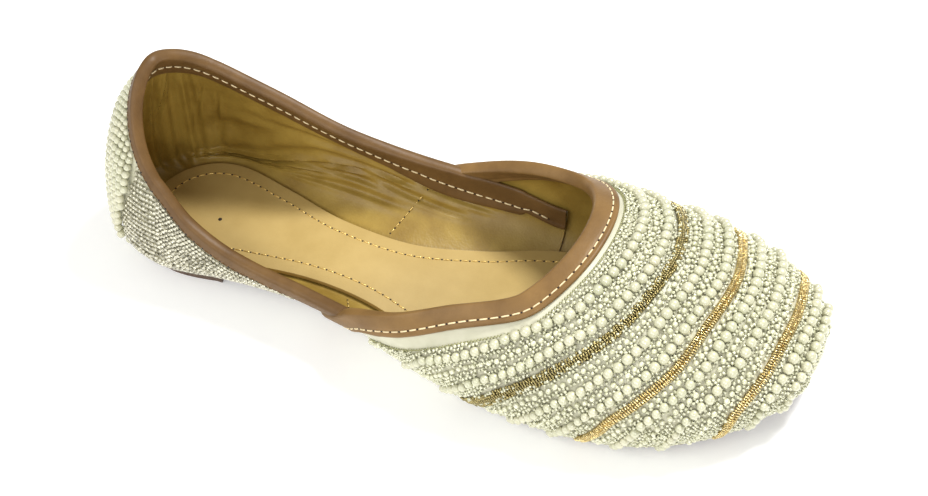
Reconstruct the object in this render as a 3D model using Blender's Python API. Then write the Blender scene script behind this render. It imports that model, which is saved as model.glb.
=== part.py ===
"""Mojari, right foot: a flat slip-on shoe with pearls and gold cords across its vamp.

The shoe stands on Z = 0 with its toe towards +X, its inner (medial) side towards +Y and its outer
(lateral) side towards -Y. All sizes are in metres and all angles in degrees.

The form of the last is a row of upright half sections, called ribs here. Each rib is an arch from the
crown down to the belly, its widest point, and then a bend in to the foot, where the upper turns under.
The angle on a rib is 0 at the crown, 90 at the belly and FOOT_ANGLE at the foot.

A station is a share of the way from the centre of the heel's round, 0, to the toe tip, 1.
"""

from collections import namedtuple
from functools import lru_cache
from math import cos, pi, radians, sin, sqrt

import bmesh
import bpy
from mathutils import Vector

# Driving sizes
LENGTH = 0.249             # counter to toe tip, over the form
BALL_WIDTH = 0.084         # widest part of the form
HEEL_WIDTH = 0.057
THROAT_HEIGHT = 0.051      # crown of the vamp at the throat
BACK_HEIGHT = 0.074        # top of the collar at the back
TOE_HEIGHT = 0.019         # height of the foremost point
TOE_TURN = 0.012           # how far the toe tip lies to the medial side
CROWN_SHIFT = 0.005        # how far the crown of the vamp lies to the medial side
HEEL_REACH = 0.032         # heel centre to the back of the counter

# Layers
WALL = 0.0018
OUTSOLE_THICKNESS = 0.0030
LIFT_THICKNESS = 0.0032
INSOLE_THICKNESS = 0.0015
TURN_UNDER = 0.0070        # width of the upper's turned-in edge
TURN_STEP = 0.00015        # how much thinner the vamp's turned-in edge is, on each face
GAP = 0.0003               # clearance between pieces that touch
SOLE_MARGIN = 0.0006       # outsole edge beyond the upper's foot
SOLE_ROUNDING = 0.0006     # rounding of the outsole's lower edge
LIFT_INSET = 0.0015        # heel lift inside the outsole's edge

# Sole line
TOE_SPRING = 0.008
ARCH_RISE = 0.0025
HEEL_FRONT = 0.074         # station of the heel lift's front
TREAD_REAR = 0.510         # stations of the flat tread under the ball
TREAD_FRONT = 0.741
LIFT_HOLLOW = 0.002        # how far the lift's front edge is hollowed

# Bindings and trim
BINDING_WIDTH = 0.0078     # lip of a binding on the face of the wall
COLLAR_LIP = 0.0045        # outer lip of the collar binding
LIP_SHARE = 0.50           # most of the wall's height that a collar lip takes
NO_LIP = -0.7 * GAP        # end of a lip that has faded away, just above the wall's edge
BINDING_THICKNESS = 0.0010
BINDING_ROLL = 0.0014      # height of the rolled edge above the wall
CROSSING_CLEARANCE = BINDING_ROLL + 3 * GAP
FADE_END = 2.0             # a lip has faded away at this many clearances from what passes over it
PEARL = 0.0032
PEARL_STAND = 0.0026       # how far a pearl string stands off the vamp
CORD_WIDTH = 0.0026
CORD_STAND = 0.0014
HEEL_PEARL_STAND = 0.0034
SIDE_BEAD_STAND = 0.0014
STRING_SIDE = 0.45         # height of a string's sides, share of its stand
STRING_SHOULDER = 0.22     # where a string's rounded shoulders are, share of its width
PANEL_STEP = 0.0012        # bare strip between the collar binding and a panel
PANEL_GAP = 0.0020         # between the heel panel and a side panel
BARE_SATIN = 0.0090        # between a side panel and the end of the throat binding

LATERAL = -1
MEDIAL = 1
BELLY_ANGLE = 90.0
FOOT_ANGLE = 130.0
KNEE = 0.30                # where the bend under the belly turns, share of the belly's height over the foot
TOE_START = 0.654          # station where the toe's round starts
TOE_FULLNESS = 2.3         # 2 is an ellipse in plan, more is squarer
TOE_BEND = 1.8             # how late the crown starts to fall to the tip
TOE_DROP = 0.66            # 1 is a sharp tip in profile, less is rounder
HEEL_FOOT = 0.77           # foot's reach behind the heel centre, share of HEEL_REACH
TOE_FOOT = 0.965           # foot's reach before the toe start, share of the toe's length

# Half sections along the form. Widths are shares of a width between HEEL_WIDTH and BALL_WIDTH, feet are
# shares of the belly's half width, the belly's height is a share of THROAT_HEIGHT and the crown's is a
# share of a height between BACK_HEIGHT and THROAT_HEIGHT. Over 1, lean draws the arch's sides in.
Row = namedtuple("Row", "station to_ball lateral medial lateral_foot medial_foot belly to_throat crown lean")
SECTIONS = (
    Row(0.000, 0.00, 0.525, 0.515, 0.820, 0.840, 0.25, 0.00, 1.210, 1.80),
    Row(0.101, 0.10, 0.500, 0.482, 0.720, 0.710, 0.38, 0.45, 1.150, 1.22),
    Row(0.217, 0.30, 0.484, 0.455, 0.610, 0.460, 0.47, 0.90, 1.040, 1.09),
    Row(0.332, 0.55, 0.490, 0.450, 0.585, 0.400, 0.50, 1.00, 0.990, 1.03),
    Row(0.447, 0.80, 0.505, 0.475, 0.685, 0.585, 0.45, 1.00, 0.985, 1.00),
    Row(0.539, 0.95, 0.512, 0.490, 0.795, 0.765, 0.39, 1.00, 1.005, 1.00),
    Row(0.654, 1.00, 0.500, 0.492, 0.865, 0.862, 0.33, 1.00, 0.982, 1.00),
)

# The collar's edge. around is -1 at the quarter's lateral front end, 0 to 1 round the heel from the
# lateral to the medial side, and 2 at the medial front end. height is a share of BACK_HEIGHT.
Edge = namedtuple("Edge", "around height")
COLLAR = (
    Edge(-1.00, 0.19),
    Edge(-0.85, 0.23),
    Edge(-0.70, 0.28),
    Edge(-0.48, 0.29),
    Edge(-0.24, 0.34),
    Edge(-0.10, 0.45),
    Edge(0.00, 0.61),
    Edge(0.25, 0.90),
    Edge(0.50, 1.00),
    Edge(0.75, 0.96),
    Edge(1.00, 0.86),
    Edge(1.10, 0.78),
    Edge(1.30, 0.62),
    Edge(1.50, 0.46),
    Edge(1.70, 0.37),
    Edge(1.85, 0.31),
    Edge(2.00, 0.19),
)
QUARTER_FRONT = 0.553      # station of the quarter's front ends
TUCK_LENGTH = 0.012        # over which the quarter's turned-in edge narrows under the vamp

# Rows across the vamp. A row is 0 at the throat's edge and 1 at the toe tip. It has its apex on the
# crown and sweeps back to its ends at the foot.
THROAT_APEX = 0.649        # stations of the throat edge's apex and ends
THROAT_END = 0.265
SWEEP_BLEND = 0.6          # row from which rows sweep as at the toe
Sweep = namedtuple("Sweep", "across throat toe")
SWEEP = (                  # how far back a row has swept, from apex to end, against the share across
    Sweep(0.00, 0.00, 0.00),
    Sweep(0.29, 0.12, 0.13),
    Sweep(0.42, 0.38, 0.24),
    Sweep(0.55, 0.58, 0.46),
    Sweep(0.69, 0.785, 0.73),
    Sweep(1.00, 1.00, 1.00),
)
Trim = namedtuple("Trim", "row reach")
PEARL_STRINGS = (
    Trim(0.195, 0.80), Trim(0.300, 0.84), Trim(0.465, 0.92), Trim(0.550, 0.94),
    Trim(0.680, 0.95), Trim(0.765, 0.95),
)
TOE_STRING = Trim(0.958, 0.95)  # another lies right behind it
GOLD_CORDS = (Trim(0.365, 0.95), Trim(0.610, 0.96), Trim(0.862, 0.96))

BINDING_END = 0.97         # where the throat binding's ends stop, share across
HEEL_PANEL = (0.20, 0.80)  # the heel panel's edges, places round the quarter
PANEL_LOW = 124.0          # angle of the panels' lower edge
LOW_WALL = (0.55, 0.70, 0.85)  # most that a lip, a panel's top and its first row take of a low wall

# Fineness of the meshes
TOE_STEPS = 10
ACROSS_STEPS = 14          # columns on each side of the vamp's crown
SIDE_STEPS = 15            # quarter stations along each side
HEEL_STEPS = 14            # quarter stations round the heel
PANEL_ROWS = 4             # rows of faces on a panel, below the binding's inner lip
EDGE_STEPS = 80            # points along each half of the throat's edge
EDGE_RUN_ON = 10           # points past each end of it
LAST_ROW = 0.988           # vamp row before the toe tip
CROSSING_STATIONS = 8      # extra sections of a binding where it crosses the other
CROSSING_STEP = 0.018
THROAT_LEAD = 5.5          # how many steps before the crossing they start, on each binding
COLLAR_LEAD = 6.5
CROWDED = 0.7              # a plain section nearer to an extra one than this share of a step is left out
PANEL_CROWDED = 0.3        # the same, from a panel's end

Point = namedtuple("Point", "place normal")


def mix(a, b, share):
    return a + (b - a) * share


def ease(share):
    """Smooth step from 0 to 1."""
    share = min(max(share, 0.0), 1.0)
    return share * share * (3 - 2 * share)


def station_x(station):
    return mix(HEEL_REACH - LENGTH / 2, LENGTH / 2, station)


def station_at(x):
    return (x - station_x(0)) / (station_x(1) - station_x(0))


def through(rows, value):
    """A row of the table at value, on smooth curves that are level at both ends."""
    keys = [row[0] for row in rows]
    value = min(max(value, keys[0]), keys[-1])
    low = max(i for i in range(len(keys) - 1) if keys[i] <= value)
    span = keys[low + 1] - keys[low]
    t = (value - keys[low]) / span

    def slope(index, column):
        if index in (0, len(rows) - 1):
            return 0.0
        return (rows[index + 1][column] - rows[index - 1][column]) / (keys[index + 1] - keys[index - 1])

    columns = [value]
    for column in range(1, len(rows[0])):
        start = (1 + 2 * t) * (1 - t) ** 2 * rows[low][column]
        end = t * t * (3 - 2 * t) * rows[low + 1][column]
        bend = t * (1 - t) ** 2 * slope(low, column) - t * t * (1 - t) * slope(low + 1, column)
        columns.append(start + end + bend * span)
    return type(rows[0])(*columns)


def sole_underside(x):
    """Height of the outsole's lower face."""
    heel_front, rear, front = station_x(HEEL_FRONT), station_x(TREAD_REAR), station_x(TREAD_FRONT)
    seat = LIFT_THICKNESS + GAP
    if x < rear:
        share = (x - heel_front) / (rear - heel_front)
        rise = sin(pi * min(max(share, 0.0), 1.0)) ** 2
        return seat * (1 - ease(share)) + ARCH_RISE * rise
    if x > front:
        return TOE_SPRING * ((x - front) / (LENGTH / 2 - front)) ** 2
    return 0.0


def foot_height(x):
    """Height of the upper's turned-in edge."""
    return sole_underside(x) + OUTSOLE_THICKNESS + GAP


class Rib:
    """One half section: an arch from the crown to the belly, and a bend from the belly to the foot."""

    def __init__(self, centre, belly, crown, foot, lean):
        self.lean = lean
        self.centre = centre
        self.belly = belly
        self.crown = crown
        self.foot = foot

    def at(self, angle):
        if angle <= BELLY_ANGLE:
            turn = radians(angle)
            across = (self.belly - self.centre) * sin(turn) ** self.lean
            return self.centre + across + (self.crown - self.centre) * cos(turn)
        t = min((angle - BELLY_ANGLE) / (FOOT_ANGLE - BELLY_ANGLE), 1.0)
        knee = Vector((self.belly.x, self.belly.y, mix(self.foot.z, self.belly.z, KNEE)))
        return self.belly * (1 - t) ** 2 + knee * 2 * t * (1 - t) + self.foot * t * t

    def angle_at_height(self, height):
        low, high = 0.0, FOOT_ANGLE
        for _ in range(40):
            middle = (low + high) / 2
            if self.at(middle).z > height:
                low = middle
            else:
                high = middle
        return low


def side_rib(x, side):
    """The rib at x on one side, from the heel's centre to the toe tip."""
    start = station_x(TOE_START)
    row = through(SECTIONS, station_at(min(x, start)))
    width = mix(HEEL_WIDTH, BALL_WIDTH, row.to_ball)
    belly = width * (row.lateral if side == LATERAL else row.medial)
    foot = belly * (row.lateral_foot if side == LATERAL else row.medial_foot)
    belly_z = THROAT_HEIGHT * row.belly
    crown_z = mix(BACK_HEIGHT, THROAT_HEIGHT, row.to_throat) * row.crown
    crown_shift = CROWN_SHIFT * ease(row.station / TOE_START)
    turn, foot_x = 0.0, x
    if x > start:
        reach = min((x - start) / (LENGTH / 2 - start), 1.0)
        narrow = sqrt(max(1 - reach ** TOE_FULLNESS, 0.0))
        belly *= narrow
        foot *= narrow
        turn = TOE_TURN * reach ** 2
        belly_z = mix(belly_z, TOE_HEIGHT, ease(reach))
        crown_z = belly_z + (crown_z - belly_z) * max(1 - reach ** TOE_BEND, 0.0) ** TOE_DROP
        crown_shift *= narrow
        foot_x = start + (x - start) * TOE_FOOT
    centre = Vector((x, turn, belly_z))
    return Rib(
        centre,
        centre + Vector((0, side * belly, 0)),
        Vector((x, turn + crown_shift, crown_z)),
        Vector((foot_x, turn + side * foot, foot_height(foot_x))),
        row.lean,
    )


def heel_rib(turn):
    """The rib at an angle round the heel, from 0 on the lateral side to 180 on the medial side."""
    side = LATERAL if turn < 90 else MEDIAL
    near = side_rib(station_x(0), side)
    out, across = sin(radians(turn)), abs(cos(radians(turn)))
    centre = near.centre
    belly = centre + Vector((-HEEL_REACH * out, side * across * abs(near.belly.y), 0))
    foot_x = centre.x - HEEL_REACH * HEEL_FOOT * out
    foot = Vector((foot_x, side * across * abs(near.foot.y), foot_height(foot_x)))
    return Rib(centre, belly, near.crown, foot, near.lean)


def quarter_rib(around):
    """The rib at a place round the quarter, as in the COLLAR table."""
    back, front = station_x(0), station_x(QUARTER_FRONT)
    if around < 0:
        return side_rib(mix(back, front, -around), LATERAL)
    if around > 1:
        return side_rib(mix(back, front, around - 1), MEDIAL)
    return heel_rib(180 * around)


def row_x(across, row):
    """How far along the form a vamp row is, at a share across from -1, lateral foot, to 1, medial foot."""
    apex = mix(station_x(THROAT_APEX), LENGTH / 2, row)
    end = mix(station_x(THROAT_END), LENGTH / 2, row)
    sweep = through(SWEEP, abs(across))
    return mix(apex, end, mix(sweep.throat, sweep.toe, ease(row / SWEEP_BLEND)))


def vamp_surface(across, row):
    side = LATERAL if across < 0 else MEDIAL
    return side_rib(row_x(across, row), side).at(abs(across) * FOOT_ANGLE)


def quarter_surface(around, angle):
    return quarter_rib(around).at(angle)


def vamp_point(across, row):
    """A point of the form under the vamp, with its outward normal."""
    step = 0.0005
    place = vamp_surface(across, row)
    if row > 1 - step and abs(across) * FOOT_ANGLE <= BELLY_ANGLE:
        return Point(place, Vector((1, 0, 0)))
    a0, a1 = max(across - step, -1.0), min(across + step, 1.0)
    r0, r1 = max(row - step, 0.0), min(row + step, 1.0)
    over = vamp_surface(a1, row) - vamp_surface(a0, row)
    normal = over.cross(vamp_surface(across, r1) - vamp_surface(across, r0))
    if row > 1 - step:
        normal.y = 0
    inside = Vector((min(place.x, station_x(TOE_START)), 0, TOE_HEIGHT))
    return Point(place, facing(normal, place - inside))


def quarter_point(around, angle):
    """A point of the form under the quarter, with its outward normal."""
    step = 0.001
    place = quarter_surface(around, angle)
    q0, q1 = max(around - step, -1.0), min(around + step, 2.0)
    along = quarter_surface(q1, angle) - quarter_surface(q0, angle)
    down = quarter_surface(around, angle + 0.1) - quarter_surface(around, max(angle - 0.1, 0))
    if angle > FOOT_ANGLE - 0.1:
        down = place - quarter_surface(around, angle - 0.2)
    inside = Vector((max(place.x, station_x(0)), 0, TOE_HEIGHT))
    return Point(place, facing(along.cross(down), place - inside))


def facing(vector, towards):
    vector = vector.normalized()
    return -vector if vector.dot(towards) < 0 else vector


def off(point, distance):
    return point.place + point.normal * distance


def foot_inward(foot_at, value, low, high):
    """Level direction from the foot's line to the inside of the shoe."""
    step = (high - low) * 0.0005
    v0, v1 = max(value - step, low), min(value + step, high)
    along = foot_at(v1) - foot_at(v0)
    inward = Vector((-along.y, along.x, 0)).normalized()
    foot = foot_at(value)
    middle = Vector((min(max(foot.x, station_x(0)), station_x(TOE_START)), 0, 0))
    return facing(inward, Vector((middle.x - foot.x, middle.y - foot.y, 0)))


def side_foot(x, side):
    """The foot's point at x on one side with its inward direction."""
    if x > LENGTH / 2 - 1e-6:
        return Point(side_rib(x, side).foot, Vector((-1, 0, 0)))
    low, high = station_x(0), LENGTH / 2
    inward = foot_inward(lambda value: side_rib(value, side).foot, x, low, high)
    return Point(side_rib(x, side).foot, inward)


def quarter_foot(around):
    """The foot's point round the quarter with its inward direction."""
    inward = foot_inward(lambda value: quarter_rib(value).foot, around, -1.0, 2.0)
    return Point(quarter_rib(around).foot, inward)


def turned_edge(foot, rib, outward, width, step):
    """Corners of the turned-in edge: outer foot, the edge's lower and upper end, and the inner corner."""
    slope = (rib.at(FOOT_ANGLE - 1) - rib.foot).normalized()
    level = -slope.dot(foot.normal)
    bend = WALL * (slope.z - level * (1 - level) / slope.z)

    def corner(inwards, height):
        place = foot.place + foot.normal * inwards
        return Vector((place.x, place.y, foot_height(place.x) + height))

    low, high = step, WALL - step
    return corner(-outward, low), corner(width, low), corner(width, high), corner(bend - outward, high)


def make_material(name, colour, roughness, metallic=0.0):
    material = bpy.data.materials.new(name)
    material.use_nodes = True
    shader = material.node_tree.nodes["Principled BSDF"]
    shader.inputs["Base Color"].default_value = (*colour, 1)
    shader.inputs["Roughness"].default_value = roughness
    shader.inputs["Metallic"].default_value = metallic
    material.diffuse_color = (*colour, 1)
    return material


def make_object(name, places, faces, material):
    """A mesh object whose doubled points are joined and whose faces point out."""
    mesh = bpy.data.meshes.new(name)
    mesh.from_pydata([tuple(place) for place in places], [], faces)
    body = bmesh.new()
    body.from_mesh(mesh)
    bmesh.ops.remove_doubles(body, verts=body.verts, dist=1e-6)
    bmesh.ops.recalc_face_normals(body, faces=body.faces)
    body.to_mesh(mesh)
    body.free()
    mesh.shade_smooth()
    mesh.set_sharp_from_angle(angle=radians(35))
    mesh.materials.append(material)
    item = bpy.data.objects.new(name, mesh)
    bpy.context.collection.objects.link(item)
    return item


def lofted(name, sections, cap, material, open_end=False):
    """A solid through closed sections with as many points each. cap lists the faces of an end.

    With open_end, the last section closes on itself and has no cap.
    """
    count = len(sections[0])
    places = [place for section in sections for place in section]
    faces = []
    for i in range(len(sections) - 1):
        for j in range(count):
            k = (j + 1) % count
            faces.append((i * count + j, i * count + k, (i + 1) * count + k, (i + 1) * count + j))
    last = (len(sections) - 1) * count
    faces += [tuple(reversed(face)) for face in cap]
    if not open_end:
        faces += [tuple(last + index for index in face) for face in cap]
    return make_object(name, places, faces, material)


def folded_cap(pairs):
    """Faces of a thin section's end, between its two sides listed as pairs of indexes."""
    faces = []
    for (a, b), (c, d) in zip(pairs, pairs[1:]):
        faces.append((a, c, d, b))
    return faces


def joined(first, second):
    """The first object with the second fused on."""
    union = first.modifiers.new("fuse", "BOOLEAN")
    union.operation = "UNION"
    union.object = second
    second.hide_render = True
    second.display_type = "WIRE"
    return first


def vamp_columns():
    """Shares across the vamp, closer together where a row turns down the side."""
    half = [i / ACROSS_STEPS for i in range(ACROSS_STEPS + 1)]
    return [-value for value in reversed(half[1:])] + half


def binding_row(across, width):
    """The vamp row that lies a width away from the throat's edge."""
    edge = throat_edge()
    low, high = 0.0, 0.5
    for _ in range(16):
        row = (low + high) / 2
        place = vamp_surface(across, row)
        if min((place - other).length for other in edge) < width:
            low = row
        else:
            high = row
    return low


@lru_cache(maxsize=None)
def throat_edge():
    """Points along the throat's edge, and on past its ends."""
    places = [vamp_surface(i / EDGE_STEPS, 0) for i in range(-EDGE_STEPS, EDGE_STEPS + 1)]
    for end, before in ((places[0], places[1]), (places[-1], places[-2])):
        places += [end + (end - before) * k for k in range(1, EDGE_RUN_ON + 1)]
    return tuple(places)


def vamp_rows(across):
    """Rows of the vamp's grid at a share across, with two to each string on the toe's round."""
    rows = [0.0, binding_row(across, (BINDING_WIDTH - GAP) / 2), binding_row(across, BINDING_WIDTH)]
    trims = sorted(pearl_strings() + GOLD_CORDS)
    rows += [trim.row for trim in trims[:-2]]
    for trim in trims[-2:]:
        rows += trim_edges(trim)
    return rows + [LAST_ROW, 1.0]


def rows_over(distance):
    """The step in rows that covers a distance along the shoe at the crown."""
    return distance / (LENGTH / 2 - station_x(THROAT_APEX))


def pearl_strings():
    """Every pearl string, the last two side by side at the toe."""
    behind = TOE_STRING.row - rows_over(PEARL + GAP)
    return (*PEARL_STRINGS, Trim(behind, TOE_STRING.reach), TOE_STRING)


def trim_edges(trim):
    """Rows on both sides of a string or cord."""
    half = rows_over(CORD_WIDTH if trim in GOLD_CORDS else PEARL) / 2
    return [trim.row - half, trim.row + half]


def make_vamp(material):
    columns = vamp_columns()
    grid = [vamp_rows(across) for across in columns]
    sections = []
    last = len(columns) - 1
    for i in range(len(grid[0])):
        points = [vamp_point(across, rows[i]) for across, rows in zip(columns, grid)]
        outer = [off(point, WALL / 2) for point in points]
        inner = [off(point, -WALL / 2) for point in points]
        ends = {}
        for side, index in ((LATERAL, 0), (MEDIAL, last)):
            x = row_x(side, grid[index][i])
            width = TURN_UNDER - TURN_STEP
            ends[side] = turned_edge(side_foot(x, side), side_rib(x, side), WALL / 2, width, TURN_STEP)
        outer[0], outer[-1] = ends[LATERAL][0], ends[MEDIAL][0]
        inner[0], inner[-1] = ends[LATERAL][3], ends[MEDIAL][3]
        medial_edge, lateral_edge = ends[MEDIAL][1:3], ends[LATERAL][2:0:-1]
        sections.append([*outer, *medial_edge, *inner[::-1], *lateral_edge])
    count = len(sections[0])
    pairs = [(count - 1, count - 2)]
    pairs += [(j, 2 * last + 3 - j) for j in range(last + 1)]
    pairs += [(last + 1, last + 2)]
    return lofted("upper", sections, folded_cap(pairs), material, open_end=True)


def quarter_places():
    """Places round the quarter, from the lateral to the medial front end."""
    side = [i / SIDE_STEPS for i in range(SIDE_STEPS)]
    heel = [i / HEEL_STEPS for i in range(HEEL_STEPS + 1)]
    return [share - 1 for share in side] + heel + [2 - share for share in reversed(side)]


def collar_angle(around):
    return quarter_rib(around).angle_at_height(BACK_HEIGHT * through(COLLAR, around).height)


def lip_widths(around):
    """The collar binding's inner and outer lip, narrower where the wall under it is low."""
    rib = quarter_rib(around)
    wall = (rib.at(collar_angle(around)) - rib.foot).length
    inner = min(BINDING_WIDTH, LIP_SHARE * wall)
    return inner, min(COLLAR_LIP, LIP_SHARE * inner)


def angle_down(around, angle, distance):
    """The angle on a rib at a distance below another angle."""
    rate = (quarter_surface(around, angle + 0.5) - quarter_surface(around, angle)).length / 0.5
    return min(angle + distance / rate, FOOT_ANGLE)


def quarter_angles(around):
    """Angles of the quarter's grid: the edge, the outer lip's end, the panel's rows and the foot."""
    top = collar_angle(around)
    inner, outer = lip_widths(around)
    downs = (outer, outer + PANEL_STEP, inner + PANEL_STEP)
    lip_end, panel_top, under_lip = (
        min(angle_down(around, top, down), mix(top, PANEL_LOW, most)) for down, most in zip(downs, LOW_WALL)
    )
    angles = [top, lip_end, panel_top]
    angles += [mix(under_lip, PANEL_LOW, i / PANEL_ROWS) for i in range(PANEL_ROWS + 1)]
    return angles + [FOOT_ANGLE]


def tucked(around):
    """0 where the quarter shows, 1 where the vamp covers it."""
    beside = -around if around < 0 else around - 1
    x = mix(station_x(0), station_x(QUARTER_FRONT), beside)
    return ease((x - station_x(THROAT_END)) / TUCK_LENGTH)


def make_quarter(material):
    sections = []
    for around in quarter_places():
        points = [quarter_point(around, angle) for angle in quarter_angles(around)]
        outer = [point.place for point in points]
        inner = [off(point, -WALL) for point in points]
        width = mix(TURN_UNDER, WALL, tucked(around))
        edge = turned_edge(quarter_foot(around), quarter_rib(around), 0.0, width, 0.0)
        outer[-1], inner[-1] = edge[0], edge[3]
        sections.append(outer + [edge[1], edge[2]] + inner[::-1])
    last = len(points) - 1
    pairs = [(j, 2 * last + 3 - j) for j in range(last + 1)] + [(last + 1, last + 2)]
    return lofted("quarter_half", sections, folded_cap(pairs), material)


def binding_section(place_at, lip_out, lip_in, top, bottom):
    """Section of a strip folded over an edge.

    place_at(down, out) is a point at a distance down the wall from its edge and out from the form.
    top and bottom are how far out the strip's outer and inner face lie.
    """
    thick = min(BINDING_THICKNESS, (top - bottom) * 0.45)
    middle, half = (top + bottom) / 2, (top - bottom) / 2
    half_out, half_in = (lip_out - GAP) / 2, (lip_in - GAP) / 2
    section = [place_at(lip_out, top), place_at(half_out, top)]
    for i in range(5):
        turn = radians(45 * i)
        section.append(place_at(-GAP - BINDING_ROLL * sin(turn), middle + half * cos(turn)))
    section += [place_at(half_in, bottom), place_at(lip_in, bottom)]
    section += [place_at(lip_in, bottom + thick), place_at(half_in, bottom + thick)]
    section += [place_at(-GAP, bottom + thick), place_at(-GAP, top - thick)]
    section += [place_at(half_out, top - thick), place_at(lip_out, top - thick)]
    return section


BINDING_CAP = (
    (0, 1, 13, 14), (1, 2, 12, 13), (2, 3, 4, 5, 6, 11, 12), (6, 7, 10, 11), (7, 8, 9, 10),
)


def above_collar(across, row):
    """How high a point of the vamp lies over the collar's edge at the same x."""
    place = vamp_surface(across, row)
    side = LATERAL if across < 0 else MEDIAL
    return place.z - BACK_HEIGHT * through(COLLAR, quarter_share(place.x, side)).height


def throat_cover(across):
    """The share of the throat binding's inner lip that is left, and how far its back has moved out.

    Where the vamp passes over the quarter there is no room for an inner lip.
    """
    rows = [0.0, binding_row(across, BINDING_WIDTH / 2), binding_row(across, BINDING_WIDTH)]
    heights = [above_collar(across, row) for row in rows]
    return cover(min(heights), heights[0])


def cover(nearest, at_edge):
    """A lip fades as what passes over it comes near, and then the strip moves aside."""
    left = ease(nearest / CROSSING_CLEARANCE - FADE_END)
    moved = ease(FADE_END - at_edge / CROSSING_CLEARANCE)
    return left, moved


def behind_throat(place, side):
    """How far a point of the quarter lies behind the throat's edge, less than 0 under the vamp."""
    low, high = 0.0, 1.0
    for _ in range(24):
        across = (low + high) / 2
        if vamp_surface(side * across, 0).z > place.z:
            low = across
        else:
            high = across
    distance = min((place - other).length for other in throat_edge())
    return distance if row_x(low, 0) > place.x else -distance


def collar_cover(around):
    """The share of the collar binding's outer lip that is left, and how far its face has tucked in."""
    side = LATERAL if around < 0.5 else MEDIAL
    angle, lip = collar_angle(around), lip_widths(around)[0]
    places = [quarter_surface(around, angle_down(around, angle, lip * share)) for share in (0.0, 0.5, 1.0)]
    distances = [behind_throat(place, side) for place in places]
    return cover(min(distances), distances[0])


def crossing(side):
    """The share across at which the throat's edge meets the collar's edge."""
    low, high = 0.3, 1.0
    for _ in range(24):
        across = (low + high) / 2
        if above_collar(side * across, 0) > 0:
            low = across
        else:
            high = across
    return low


def with_extras(values, extras):
    """Values in order, with extras put in and plain values that crowd them left out."""
    space = min(abs(b - a) for a, b in zip(extras, extras[1:]))
    kept = [value for value in values if min(abs(value - extra) for extra in extras) > space * CROWDED]
    return sorted(kept + extras)


def throat_places():
    """Shares across for the throat binding, closer together where it crosses the collar."""
    values = [across for across in vamp_columns() if abs(across) <= BINDING_END]
    extras = []
    for side in (LATERAL, MEDIAL):
        extras += [side * (crossing(side) + (i - THROAT_LEAD) * CROSSING_STEP) for i in range(CROSSING_STATIONS)]
    return with_extras(values, sorted(extras))


def collar_places():
    """Places round the quarter for the collar binding, closer together where the vamp crosses it."""
    extras = []
    for side in (LATERAL, MEDIAL):
        middle = quarter_share(vamp_surface(side * crossing(side), 0).x, side)
        extras += [middle - side * (i - COLLAR_LEAD) * CROSSING_STEP for i in range(CROSSING_STATIONS)]
    return with_extras(quarter_places(), sorted(extras))


def quarter_share(x, side):
    """The place round the quarter that lies at x on one side."""
    back, front = station_x(0), station_x(QUARTER_FRONT)
    share = min(max((x - back) / (front - back), 0.0), 1.0)
    return -share if side == LATERAL else 1 + share


def make_throat_binding(material):
    sections = []
    for across in throat_places():
        edge = vamp_point(across, 0)
        inwards = (vamp_surface(across, 0) - vamp_surface(across, 0.01)).normalized()

        def place_at(down, out):
            if down <= 0:
                return off(edge, out) - inwards * down
            return off(vamp_point(across, binding_row(across, down)), out)

        left, moved = throat_cover(across)
        top = WALL / 2 + GAP + BINDING_THICKNESS
        bottom = mix(-WALL / 2 - GAP - BINDING_THICKNESS, GAP, moved)
        lip_in = mix(NO_LIP, BINDING_WIDTH, left)
        sections.append(binding_section(place_at, BINDING_WIDTH, lip_in, top, bottom))
    return lofted("throat_binding", sections, BINDING_CAP, material)


def make_collar_binding(material):
    sections = []
    for around in collar_places():
        angle = collar_angle(around)
        edge = quarter_point(around, angle)
        inner, outer = lip_widths(around)
        up = (quarter_surface(around, angle - 1) - edge.place).normalized()

        def place_at(down, out):
            if down <= 0:
                return off(edge, out) - up * down
            return off(quarter_point(around, angle_down(around, angle, down)), out)

        shown, moved = collar_cover(around)
        top = mix(GAP + BINDING_THICKNESS, -WALL / 2 - 2 * GAP, moved)
        bottom = -WALL - GAP - BINDING_THICKNESS
        sections.append(binding_section(place_at, mix(NO_LIP, outer, shown), inner, top, bottom))
    return lofted("collar_binding", sections, BINDING_CAP, material)


def make_string(name, trim, stand, material):
    """A half-round bar that lies along one row of the vamp."""
    sections = []
    low, high = trim_edges(trim)
    base = WALL / 2 + GAP
    profile = (
        (0, base), (0, base + stand * STRING_SIDE), (STRING_SHOULDER, base + stand),
        (1 - STRING_SHOULDER, base + stand), (1, base + stand * STRING_SIDE), (1, base),
    )
    for across in vamp_columns():
        if abs(across) > trim.reach:
            continue
        sections.append([off(vamp_point(across, mix(low, high, share)), height) for share, height in profile])
    return lofted(name, sections, [(0, 1, 2, 3, 4, 5)], material)


def panel_spans():
    """Ends of the heel panel, the lateral and the medial panel, as places round the quarter."""
    start, end = HEEL_PANEL
    apart = PANEL_GAP / (pi * HEEL_REACH)
    front = station_x(THROAT_END) - BARE_SATIN
    lateral = (quarter_share(front, LATERAL), start - apart)
    medial = (end + apart, quarter_share(front, MEDIAL))
    return HEEL_PANEL, lateral, medial


def make_panel(name, span, stand, material):
    """A raised plate on the quarter, under the collar binding, between two places round it."""
    start, end = span
    crowded = PANEL_CROWDED / HEEL_STEPS
    between = [around for around in quarter_places() if start + crowded < around < end - crowded]
    sections = []
    for around in [start, *between, end]:
        points = [quarter_point(around, angle) for angle in quarter_angles(around)[2:-1]]
        base = [off(point, GAP) for point in points]
        raised = [off(point, GAP + stand) for point in points]
        sections.append(base + raised[::-1])
    count = len(points)
    pairs = [(i, 2 * count - 1 - i) for i in range(count)]
    return lofted(name, sections, folded_cap(pairs), material)


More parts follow.
